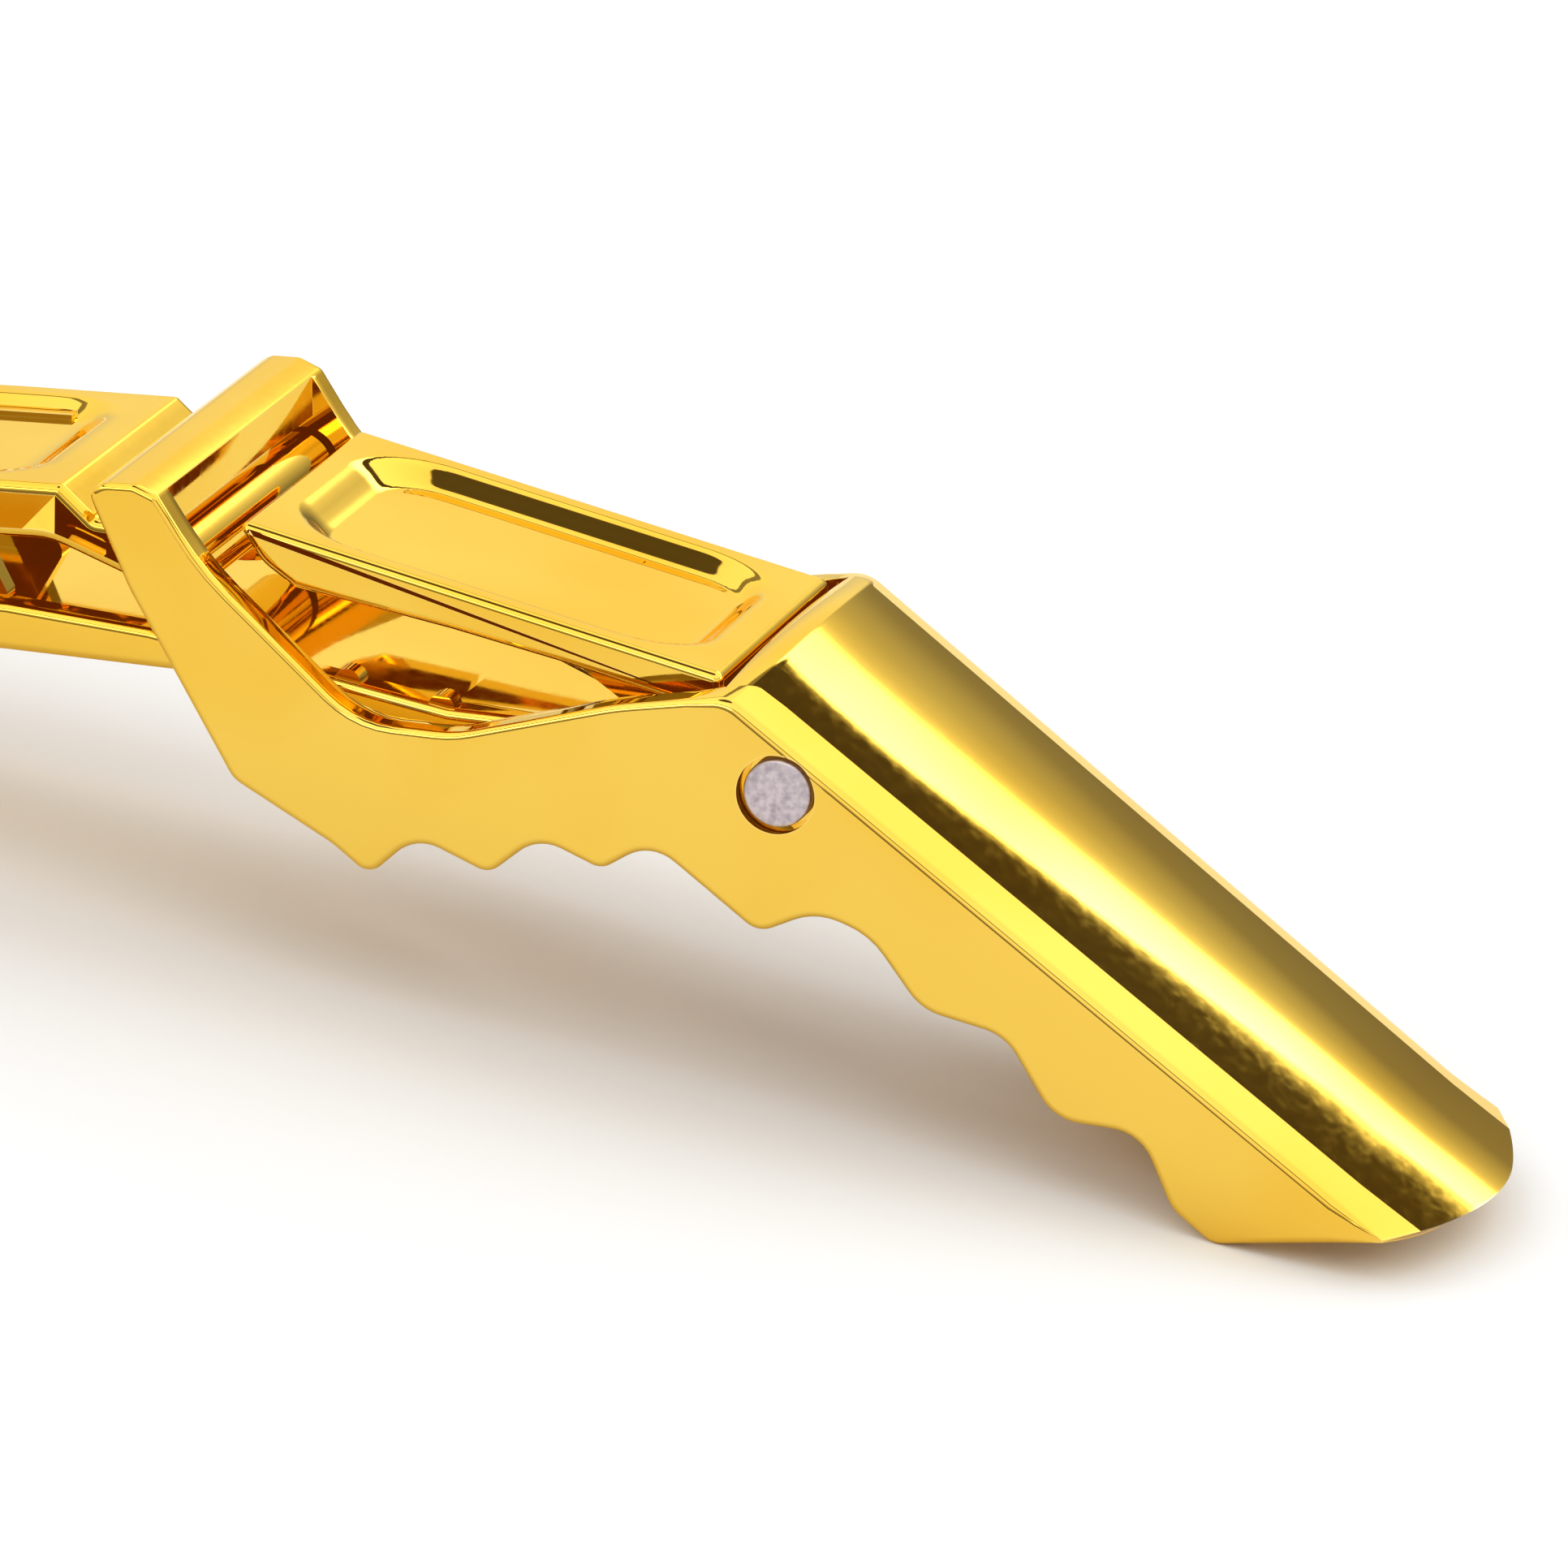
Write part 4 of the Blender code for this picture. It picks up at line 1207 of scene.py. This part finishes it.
@dataclass
class LowerJaw(Jaw):
    """Upward-open channel from the hinge pin, under the thumb lever, through the arms to the tip."""

    pin_x: float = 0.0
    knuckle: float = 1.25 * MM
    bore: float = 0.85 * MM
    floor_end_x: float = -5.5 * MM
    nub_radius: float = 0.55 * MM
    nub_xs: tuple[float, ...] = (-18.0 * MM, -14.2 * MM)
    row_inset: float = 3.4 * MM

    def bottom(self, x: float) -> float:
        """Height of the underside at x."""
        join = -0.88 * self.knuckle
        knots = (
            (self.nose_x, 4.6 * MM),
            (-31.8 * MM, 2.7 * MM),
            (-25.0 * MM, 2.4 * MM),
            (-8.0 * MM, -0.5 * MM),
            (-0.4 * self.knuckle, join),
        )
        return along(knots, x)

    def rim(self, x: float) -> float:
        """Height of the channel's rim at x."""
        knots = (
            (self.nose_x, 6.25 * MM),
            (-31.8 * MM, 4.6 * MM),
            (-26.0 * MM, 4.0 * MM),
            (-18.5 * MM, 2.6 * MM),
            (-13.9 * MM, 1.7 * MM),
            (-0.4 * self.knuckle, 0.88 * self.knuckle),
        )
        return along(knots, x)

    def floor(self, x: float) -> float:
        """Height of the channel's floor at x."""
        return self.bottom(x) + self.skin

    def build(self, upper: "UpperJaw") -> bpy.types.Object:
        """Builds the jaw in the clip's own frame.

        Args:
            upper: The upper jaw, whose plate the teeth reach towards.

        Returns:
            The jaw.
        """
        run = [-81, -75, -66, -57, -48, -40, -36, -31.8, -26, -25, -18.5, -13.9, -8, -4]
        xs = self.nose_stations() + [x * MM for x in run] + [-0.4 * self.knuckle]
        jaw = self.shell("lower_jaw_moulding", self.bottom, self.rim, xs)
        inner = self.half - self.wall
        trough_xs = [self.nose_x + self.nose_solid] + [x * MM for x in run] + [4 * MM]
        trough = self.trough("channel", self.floor, lambda x: self.rim(x) + 10 * MM, trough_xs)
        well = [
            (self.floor_end_x, -self.reach),
            (self.reach, -self.reach),
            (self.reach, self.reach),
            (self.floor_end_x, self.reach),
        ]
        combine(jaw, [trough, level_slab("spring_well", well, -inner, inner)], Solid.CUT)
        ease_edges(jaw, 0.16 * MM, lambda spot: spot.z > self.floor(spot.x) + 0.4 * MM and spot.x < -6 * MM)
        added = []
        step = 0.06 * MM
        for side in (-1, 1):
            near, far = sorted((side * (inner - step), side * (self.half - step)))
            added.append(level_slab(f"knuckle_{side}", circle(0, 0, self.knuckle), near, far))
            for x in self.nub_xs:
                nub = circle(x, self.rim(x) - 0.1 * MM, self.nub_radius, 32)
                added.append(level_slab(f"nub_{side}_{x:.3f}", nub, near + 0.2 * MM, far - 0.2 * MM))
            foot = lambda x: self.floor(x) + 0.15 * MM
            tips = lambda x: upper.ceiling(x) - self.tooth_gap
            added.append(self.tooth_row(f"teeth_{side}", foot, tips, self.row_inset, side))
        combine(jaw, added, Solid.JOIN)
        combine(jaw, [level_slab("bore", circle(0, 0, self.bore), -self.reach, self.reach)], Solid.CUT)
        self.body = polish(jaw)
        return jaw

    def dress(self, finish: bpy.types.Material) -> None:
        """Places the jaw and gives it its finish."""
        mount(self.body, self.place, "lever", "lower_jaw", finish)


@dataclass
class UpperJaw(Jaw):
    """Downward-open channel with a long dish in its top, two rows of teeth and a hinge barrel."""

    pivot_x: float = -25.0 * MM
    pivot_z: float = 6.6 * MM
    barrel: float = 1.4 * MM
    barrel_half: float = 8.14 * MM
    bore: float = 0.75 * MM
    top_z: float = 9.5 * MM
    plate_end_x: float = -29.5 * MM
    dish_front_x: float = -66.0 * MM
    dish_rear_x: float = -31.0 * MM
    dish_depth: float = 0.55 * MM
    dish_side: float = 1.3 * MM
    dish_wall: float = 1.1 * MM
    dish_corner: float = 2.8 * MM
    row_inset: float = 1.9 * MM

    def top(self, x: float) -> float:
        """Height of the top at x."""
        knots = (
            (self.nose_x, 8.3 * MM),
            (-62.0 * MM, self.top_z - 0.25 * MM),
            (-45.0 * MM, self.top_z),
            (self.plate_end_x, self.top_z),
            (-28.1 * MM, self.top_z - 1.3 * MM),
            (self.pivot_x, self.pivot_z + self.barrel - 0.1 * MM),
        )
        return along(knots, x)

    def rim(self, x: float) -> float:
        """Height of the channel's rim at x."""
        knots = (
            (self.nose_x, 6.55 * MM),
            (-30.0 * MM, self.top_z - 2.2 * MM),
            (-27.0 * MM, self.pivot_z - 0.5 * MM),
            (self.pivot_x, self.pivot_z - self.barrel + 0.2 * MM),
        )
        return along(knots, x)

    def ceiling(self, x: float) -> float:
        """Height of the channel's ceiling at x."""
        return self.top(x) - self.skin

    def outline(self) -> list[Point]:
        """Side view, counterclockwise from the rear foot of the hinge.

        Returns:
            The outline's points.
        """
        rear = self.pivot_x
        lower = [(rear, self.rim(rear), 0.0), (self.nose_x, self.rim(self.nose_x), 0.6 * MM)]
        corners = [
            (rear, self.top(rear), 0.0),
            (-28.1 * MM, self.top(-28.1 * MM), 0.4 * MM),
            (self.plate_end_x, self.top_z, 0.35 * MM),
            (-45.0 * MM, self.top_z, 30 * MM),
            (-62.0 * MM, self.top_z - 0.25 * MM, 60 * MM),
            (self.nose_x, self.top(self.nose_x), 0.8 * MM),
            lower[1],
            (-30.0 * MM, self.rim(-30.0 * MM), 3 * MM),
            (-27.0 * MM, self.rim(-27.0 * MM), 2 * MM),
            lower[0],
        ]
        return split_runs(rounded(corners), 0.45 * MM)

    def dish(self, x: float, y: float) -> float:
        """Depth of the dish under the top.

        Args:
            x: Place along the clip.
            y: Place across it.

        Returns:
            The depth.
        """
        half_length = 0.5 * (self.dish_rear_x - self.dish_front_x)
        half_width = self.half_width(x) - self.dish_side
        out_x = abs(x - 0.5 * (self.dish_front_x + self.dish_rear_x)) - (half_length - self.dish_corner)
        out_y = abs(y) - (half_width - self.dish_corner)
        outside = math.hypot(max(out_x, 0.0), max(out_y, 0.0)) + min(max(out_x, out_y), 0.0)
        return self.dish_depth * eased((self.dish_corner - outside) / self.dish_wall)

    def build(self, floor: Profile) -> bpy.types.Object:
        """Builds the jaw in the clip's own frame.

        Args:
            floor: Height of the lower jaw's channel floor at x, which the teeth reach towards.

        Returns:
            The jaw.
        """
        edge = Section(0.4 * MM, 0.4 * MM)
        jaw = section_block(
            "upper_jaw_moulding", self.outline(), self.half_width, lambda x, z: edge, no_push, 5, 44
        )
        for corner in jaw.data.vertices:
            x, y, z = corner.co
            if x < self.plate_end_x - 0.5 * MM and z > self.top(x) - 0.12 * MM:
                corner.co.z = z - self.dish(x, y)
        run = [-75, -66, -62, -57, -48, -45, -40, -36, -32, -30, -29.5, -28.1]
        xs = [self.nose_x + self.nose_solid] + [x * MM for x in run]
        trough = self.trough("channel", lambda x: self.rim(x) - 10 * MM, self.ceiling, xs)
        combine(jaw, [trough], Solid.CUT)
        ease_edges(jaw, 0.14 * MM, lambda spot: spot.z < self.rim(spot.x) + 0.1 * MM and spot.x < -31 * MM)
        barrel = circle(self.pivot_x, self.pivot_z, self.barrel)
        added = [level_slab("barrel", barrel, -self.barrel_half, self.barrel_half)]
        for side in (-1, 1):
            foot = lambda x: self.ceiling(x) - 0.15 * MM
            tips = lambda x: floor(x) + self.tooth_gap
            added.append(self.tooth_row(f"teeth_{side}", foot, tips, self.row_inset, side))
        combine(jaw, added, Solid.JOIN)
        bore = circle(self.pivot_x, self.pivot_z, self.bore)
        combine(jaw, [level_slab("bore", bore, -self.reach, self.reach)], Solid.CUT)
        self.body = polish(jaw)
        return jaw

    def dress(self, finish: bpy.types.Material) -> None:
        """Places the jaw and gives it its finish."""
        mount(self.body, self.place, "upper_jaw", "upper_jaw", finish)


# ---------------------------------------------------------------- pins and spring


@dataclass
class Pin:
    """Turned pin across the clip, alike at both ends."""

    place: ClipFrame
    name: str
    node: str
    x: float
    z: float
    half_profile: Sequence[Point]
    segments: int = 72
    body: Optional[bpy.types.Object] = field(default=None, init=False)

    def build(self) -> bpy.types.Object:
        """Turns the profile about the pin's axis.

        Returns:
            The pin.
        """
        profile = [(-y, radius) for y, radius in self.half_profile]
        profile += [(y, radius) for y, radius in reversed(self.half_profile)]
        points: list[tuple[float, float, float]] = []
        for y, radius in profile:
            points += [(x, y, z) for x, z in circle(self.x, self.z, radius, self.segments)]
        last = (len(profile) - 1) * self.segments
        faces: list[tuple[int, ...]] = [tuple(range(self.segments))]
        faces.append(tuple(range(last, last + self.segments))[::-1])
        faces += [face[::-1] for face in ring_faces(len(profile), self.segments)]
        self.body = polish(mesh_object(self.name, points, faces))
        return self.body

    def dress(self, finish: bpy.types.Material) -> None:
        """Places the pin and gives it its finish."""
        mount(self.body, self.place, "handle", self.node, finish)


def head_profile(outer: float, inner: float, head: float, shank: float) -> list[Point]:
    """Half profile of a pin with a slightly domed, rounded head.

    Args:
        outer: Distance of the head's end from the middle.
        inner: Distance of the head's back.
        head: The head's radius.
        shank: The shank's radius.

    Returns:
        Pairs of y and radius from the end inwards.
    """
    edge = 0.14 * MM
    dome = 0.04 * MM
    rise = [(outer + dome * (1 - share**2), share * (head - edge)) for share in (0.03, 0.35, 0.65, 1.0)]
    turns = [math.radians(18 * step) for step in range(1, 6)]
    round_off = [(outer - edge * (1 - math.cos(turn)), head - edge * (1 - math.sin(turn))) for turn in turns]
    return rise + round_off + [(inner, head), (inner, shank)]


@dataclass
class TorsionSpring:
    """Torsion spring on the hinge pin: a leg under the lever, a coil and a leg under the pad."""

    place: ClipFrame
    lever: ThumbLever
    handle: Handle
    wire: float = 0.3 * MM
    coil: float = 1.3 * MM
    turns: int = 7
    half_length: float = 3.7 * MM
    gap: float = 0.3 * MM
    upper_leg_x: float = -12.5 * MM
    rear_leg: float = 9.0 * MM
    body: Optional[bpy.types.Object] = field(default=None, init=False)

    def touch_angle(self, tip: Point, side: int) -> float:
        """Angle on the coil where a straight leg from the tip touches its underside."""
        swing = math.acos(self.coil / math.hypot(*tip))
        return (math.atan2(tip[1], tip[0]) + side * swing) % (2 * math.pi)

    def path(self) -> list[tuple[float, float, float]]:
        """Middle line of the wire.

        Returns:
            The line's points.
        """
        under_plate = self.lever.top(self.upper_leg_x) - self.lever.plate - self.gap - self.wire
        upper = (self.upper_leg_x, under_plate)
        slope, normal = self.handle.pad_slope, self.handle.pad_height - self.handle.pad_wall - self.gap - self.wire
        rear = (
            self.rear_leg * math.cos(slope) + normal * math.sin(slope),
            -self.rear_leg * math.sin(slope) + normal * math.cos(slope),
        )
        start, end = self.touch_angle(upper, 1), self.touch_angle(rear, -1)
        end += 2 * math.pi if end < start else 0.0
        sweep = end - start + 2 * math.pi * (self.turns - 1)
        pitch = 2 * (self.half_length - self.wire) / self.turns
        reach = 0.5 * sweep / (2 * math.pi) * pitch
        steps = 40 * self.turns
        points = [(upper[0], -reach, upper[1])]
        for step in range(steps + 1):
            angle = start + sweep * step / steps
            y = (2 * step / steps - 1) * reach
            points.append((self.coil * math.cos(angle), y, self.coil * math.sin(angle)))
        points.append((rear[0], reach, rear[1]))
        return points

    def build(self) -> bpy.types.Object:
        """Winds the spring in the clip's own frame.

        Returns:
            The spring.
        """
        curve = bpy.data.curves.new("spring_line", "CURVE")
        curve.dimensions = "3D"
        curve.bevel_depth = self.wire
        curve.bevel_resolution = 4
        curve.use_fill_caps = True
        points = self.path()
        spline = curve.splines.new("POLY")
        spline.points.add(len(points) - 1)
        for point, spot in zip(spline.points, points):
            point.co = (*spot, 1.0)
        guide = bpy.data.objects.new("spring_guide", curve)
        bpy.context.scene.collection.objects.link(guide)
        graph = bpy.context.evaluated_depsgraph_get()
        mesh = bpy.data.meshes.new_from_object(guide.evaluated_get(graph))
        bpy.data.objects.remove(guide, do_unlink=True)
        self.body = bpy.data.objects.new("spring_wire", mesh)
        bpy.context.scene.collection.objects.link(self.body)
        return polish(self.body)

    def dress(self, finish: bpy.types.Material) -> None:
        """Places the spring and gives it its finish."""
        mount(self.body, self.place, "handle", "main_spring", finish)


# ---------------------------------------------------------------- studio


@dataclass
class Studio:
    """Pale floor, the bright room that the gold mirrors and that lights the clip softly, and the camera."""

    place: ClipFrame
    floor_radius: float = 4.0
    floor_colour: str = "#E2E2E1"
    azimuth: float = math.radians(17.5)
    elevation: float = math.radians(16.5)
    roll: float = math.radians(0.7)
    distance: float = 0.6
    framed_width: float = 59.6 * MM
    sensor: float = 36.0
    aim_x: float = 0.36 * MM
    aim_y: float = -9.25 * MM
    aim_z: float = 0.47 * MM
    room_gain: float = 8.0

    def floor(self) -> None:
        """Lays the floor under the clip."""
        work = bmesh.new()
        bmesh.ops.create_circle(work, cap_ends=True, segments=96, radius=self.floor_radius)
        mesh = bpy.data.meshes.new("floor")
        work.to_mesh(mesh)
        work.free()
        floor = bpy.data.objects.new("floor", mesh)
        bpy.context.scene.collection.objects.link(floor)
        material = bpy.data.materials.new("matt_white_paper")
        material.use_nodes = True
        tree = material.node_tree
        shader = tree.nodes["Principled BSDF"]
        shader.inputs["Base Color"].default_value = linear(self.floor_colour)
        shader.inputs["Roughness"].default_value = 0.9
        shader.inputs["Specular IOR Level"].default_value = 0.2
        mesh.materials.append(material)

    def ramp(self, tree: bpy.types.NodeTree, height: Any, stops: Sequence[Point]) -> Any:
        """Brightness by elevation.

        Args:
            tree: The world's node tree.
            height: Socket with the elevation in radians.
            stops: Pairs of degrees above the horizon and brightness.

        Returns:
            Socket with the brightness, divided by the room's gain.
        """
        share = add_node(
            tree,
            "ShaderNodeMapRange",
            {"Value": height, "From Min": -0.5 * math.pi, "From Max": 0.5 * math.pi},
        )
        scaled = [((degrees + 90) / 180, value / self.room_gain) for degrees, value in stops]
        node = add_node(tree, "ShaderNodeValToRGB", {"Fac": share.outputs["Result"]})
        return set_ramp(node, scaled).outputs["Color"]

    def room(self) -> None:
        """Builds the room of pale walls, softboxes and dark flags around the clip."""
        world = bpy.data.worlds.new("studio_room")
        bpy.context.scene.world = world
        world.use_nodes = True
        tree = world.node_tree
        tree.nodes.clear()
        way = add_node(tree, "ShaderNodeTexCoord").outputs["Generated"]
        axes = add_node(tree, "ShaderNodeSeparateXYZ", {"Vector": way}).outputs
        height = add_node(tree, "ShaderNodeMath", {0: axes["Z"]}, operation="ARCSINE").outputs[0]
        across = add_node(tree, "ShaderNodeMath", {0: axes["X"], 1: axes["Y"]}, operation="DIVIDE").outputs[0]
        turn = add_node(tree, "ShaderNodeMath", {0: across}, operation="ARCTANGENT").outputs[0]
        flagged = self.ramp(
            tree,
            height,
            (
                (-90, 0.95), (-1, 0.95), (0, 0.18), (5, 0.22), (9, 0.29), (14.3, 0.48), (18, 0.62), (21.5, 0.86),
                (23, 1.05), (24.3, 1.5), (25.5, 4.0), (33.2, 7.0), (33.8, 0.055), (39.4, 0.055), (40.0, 1.75),
                (55, 1.7), (90, 1.4),
            ),
        )
        open_side = self.ramp(
            tree,
            height,
            (
                (-90, 0.95), (-1, 0.95), (0, 0.8), (8, 1.02), (12, 1.12), (22, 1.18), (33.2, 1.3), (33.8, 0.3),
                (39.2, 0.3), (39.8, 1.5), (55, 1.5), (90, 1.4),
            ),
        )
        rise = add_node(
            tree,
            "ShaderNodeMapRange",
            {"Value": turn, "From Min": math.radians(-9), "From Max": math.radians(-5)},
            interpolation_type="SMOOTHSTEP",
        )
        fade = add_node(
            tree,
            "ShaderNodeMapRange",
            {"Value": turn, "From Min": math.radians(85), "From Max": math.radians(60)},
            interpolation_type="SMOOTHSTEP",
        )
        sector = add_node(
            tree, "ShaderNodeMath", {0: rise.outputs["Result"], 1: fade.outputs["Result"]}, operation="MULTIPLY"
        )
        both = add_node(
            tree,
            "ShaderNodeMix",
            {"Factor": sector.outputs[0], "A": open_side, "B": flagged},
            data_type="RGBA",
        )
        # A dark flag hangs overhead, a little to the jaws' side.
        overhead = Vector((-0.16, -0.02, 0.98)).normalized()
        near_flag = add_node(
            tree, "ShaderNodeVectorMath", {0: way, 1: tuple(overhead)}, operation="DOT_PRODUCT"
        )
        flag = add_node(
            tree,
            "ShaderNodeMapRange",
            {
                "Value": near_flag.outputs["Value"],
                "From Min": math.cos(math.radians(15)),
                "From Max": math.cos(math.radians(13)),
                "To Min": 1.0,
                "To Max": 0.06,
            },
        )
        level = add_node(
            tree, "ShaderNodeMath", {0: both.outputs[2], 1: flag.outputs["Result"]}, operation="MULTIPLY"
        )
        strength = add_node(tree, "ShaderNodeMath", {0: level.outputs[0], 1: self.room_gain}, operation="MULTIPLY")
        light = add_node(tree, "ShaderNodeBackground", {"Color": (1.0, 1.0, 1.0, 1.0), "Strength": strength.outputs[0]})
        add_node(tree, "ShaderNodeOutputWorld", {"Surface": light.outputs[0]})

    def camera(self) -> None:
        """Sets up the camera: it looks from the pin's side, a little from the handle's end and above."""
        data = bpy.data.cameras.new("view")
        data.sensor_width = self.sensor
        data.lens = self.sensor * self.distance / self.framed_width
        data.clip_start = 0.01
        data.clip_end = 20.0
        camera = bpy.data.objects.new("view", data)
        bpy.context.scene.collection.objects.link(camera)
        sine, cosine = math.sin(self.azimuth), math.cos(self.azimuth)
        rise, run = math.sin(self.elevation), math.cos(self.elevation)
        back = self.place.direction(sine * run, -cosine * run, rise)
        level = self.place.direction(cosine, sine, 0.0)
        upright = back.cross(level)
        right = level * math.cos(self.roll) - upright * math.sin(self.roll)
        up = back.cross(right)
        aim = self.place.matrix() @ Vector((self.aim_x, self.aim_y, self.aim_z))
        turn = Matrix((right, up, back)).transposed().to_4x4()
        camera.matrix_world = Matrix.Translation(aim + back * self.distance) @ turn
        bpy.context.scene.camera = camera

    def build(self) -> None:
        """Builds the studio."""
        self.floor()
        self.room()
        self.camera()
        bpy.context.scene.view_settings.view_transform = "Standard"
        LOG.info("studio: floor, room and camera")


def main() -> None:
    """Builds the pieces in order, dresses them and sets up the studio."""
    logging.basicConfig(level=logging.INFO, format="%(message)s")
    place = ClipFrame.from_joints(-25.0 * MM, 6.6 * MM)
    handle = Handle(place)
    lever = ThumbLever(place)
    lower = LowerJaw(place)
    upper = UpperJaw(place)
    handle.build()
    lever.build()
    lower.build(upper)
    upper.build(lower.floor)
    handle.dress(PlatedAbs("mirror_gold_abs_handle").material())
    lever.dress(PlatedAbs("mirror_gold_abs_lever").material())
    lower.dress(PlatedAbs("mirror_gold_abs_lower_jaw").material())
    upper.dress(PlatedAbs("mirror_gold_abs_upper_jaw").material())
    head_end = handle.half_width(0.0) - 0.15 * MM
    hinge_pin = Pin(
        place, "hinge_pin_rod", "hinge_pin", 0.0, 0.0,
        head_profile(head_end, head_end - 0.5 * MM, 1.35 * MM, 0.7 * MM),
    )
    jaw_end = handle.inner_half(handle.jaw_pin_x) + 0.75 * MM
    jaw_pin = Pin(
        place, "jaw_pin_rod", "jaw_pin", handle.jaw_pin_x, handle.jaw_pin_z,
        [(jaw_end, 0.5 * MM), (jaw_end - 0.1 * MM, 0.6 * MM)],
    )
    for pin in (hinge_pin, jaw_pin):
        pin.build()
        pin.dress(CroppedSteel(f"cropped_steel_{pin.node}").material())
    spring = TorsionSpring(place, lever, handle)
    spring.build()
    spring.dress(DrawnWire("drawn_spring_wire").material())
    Studio(place).build()


if __name__ == "__main__":
    main()
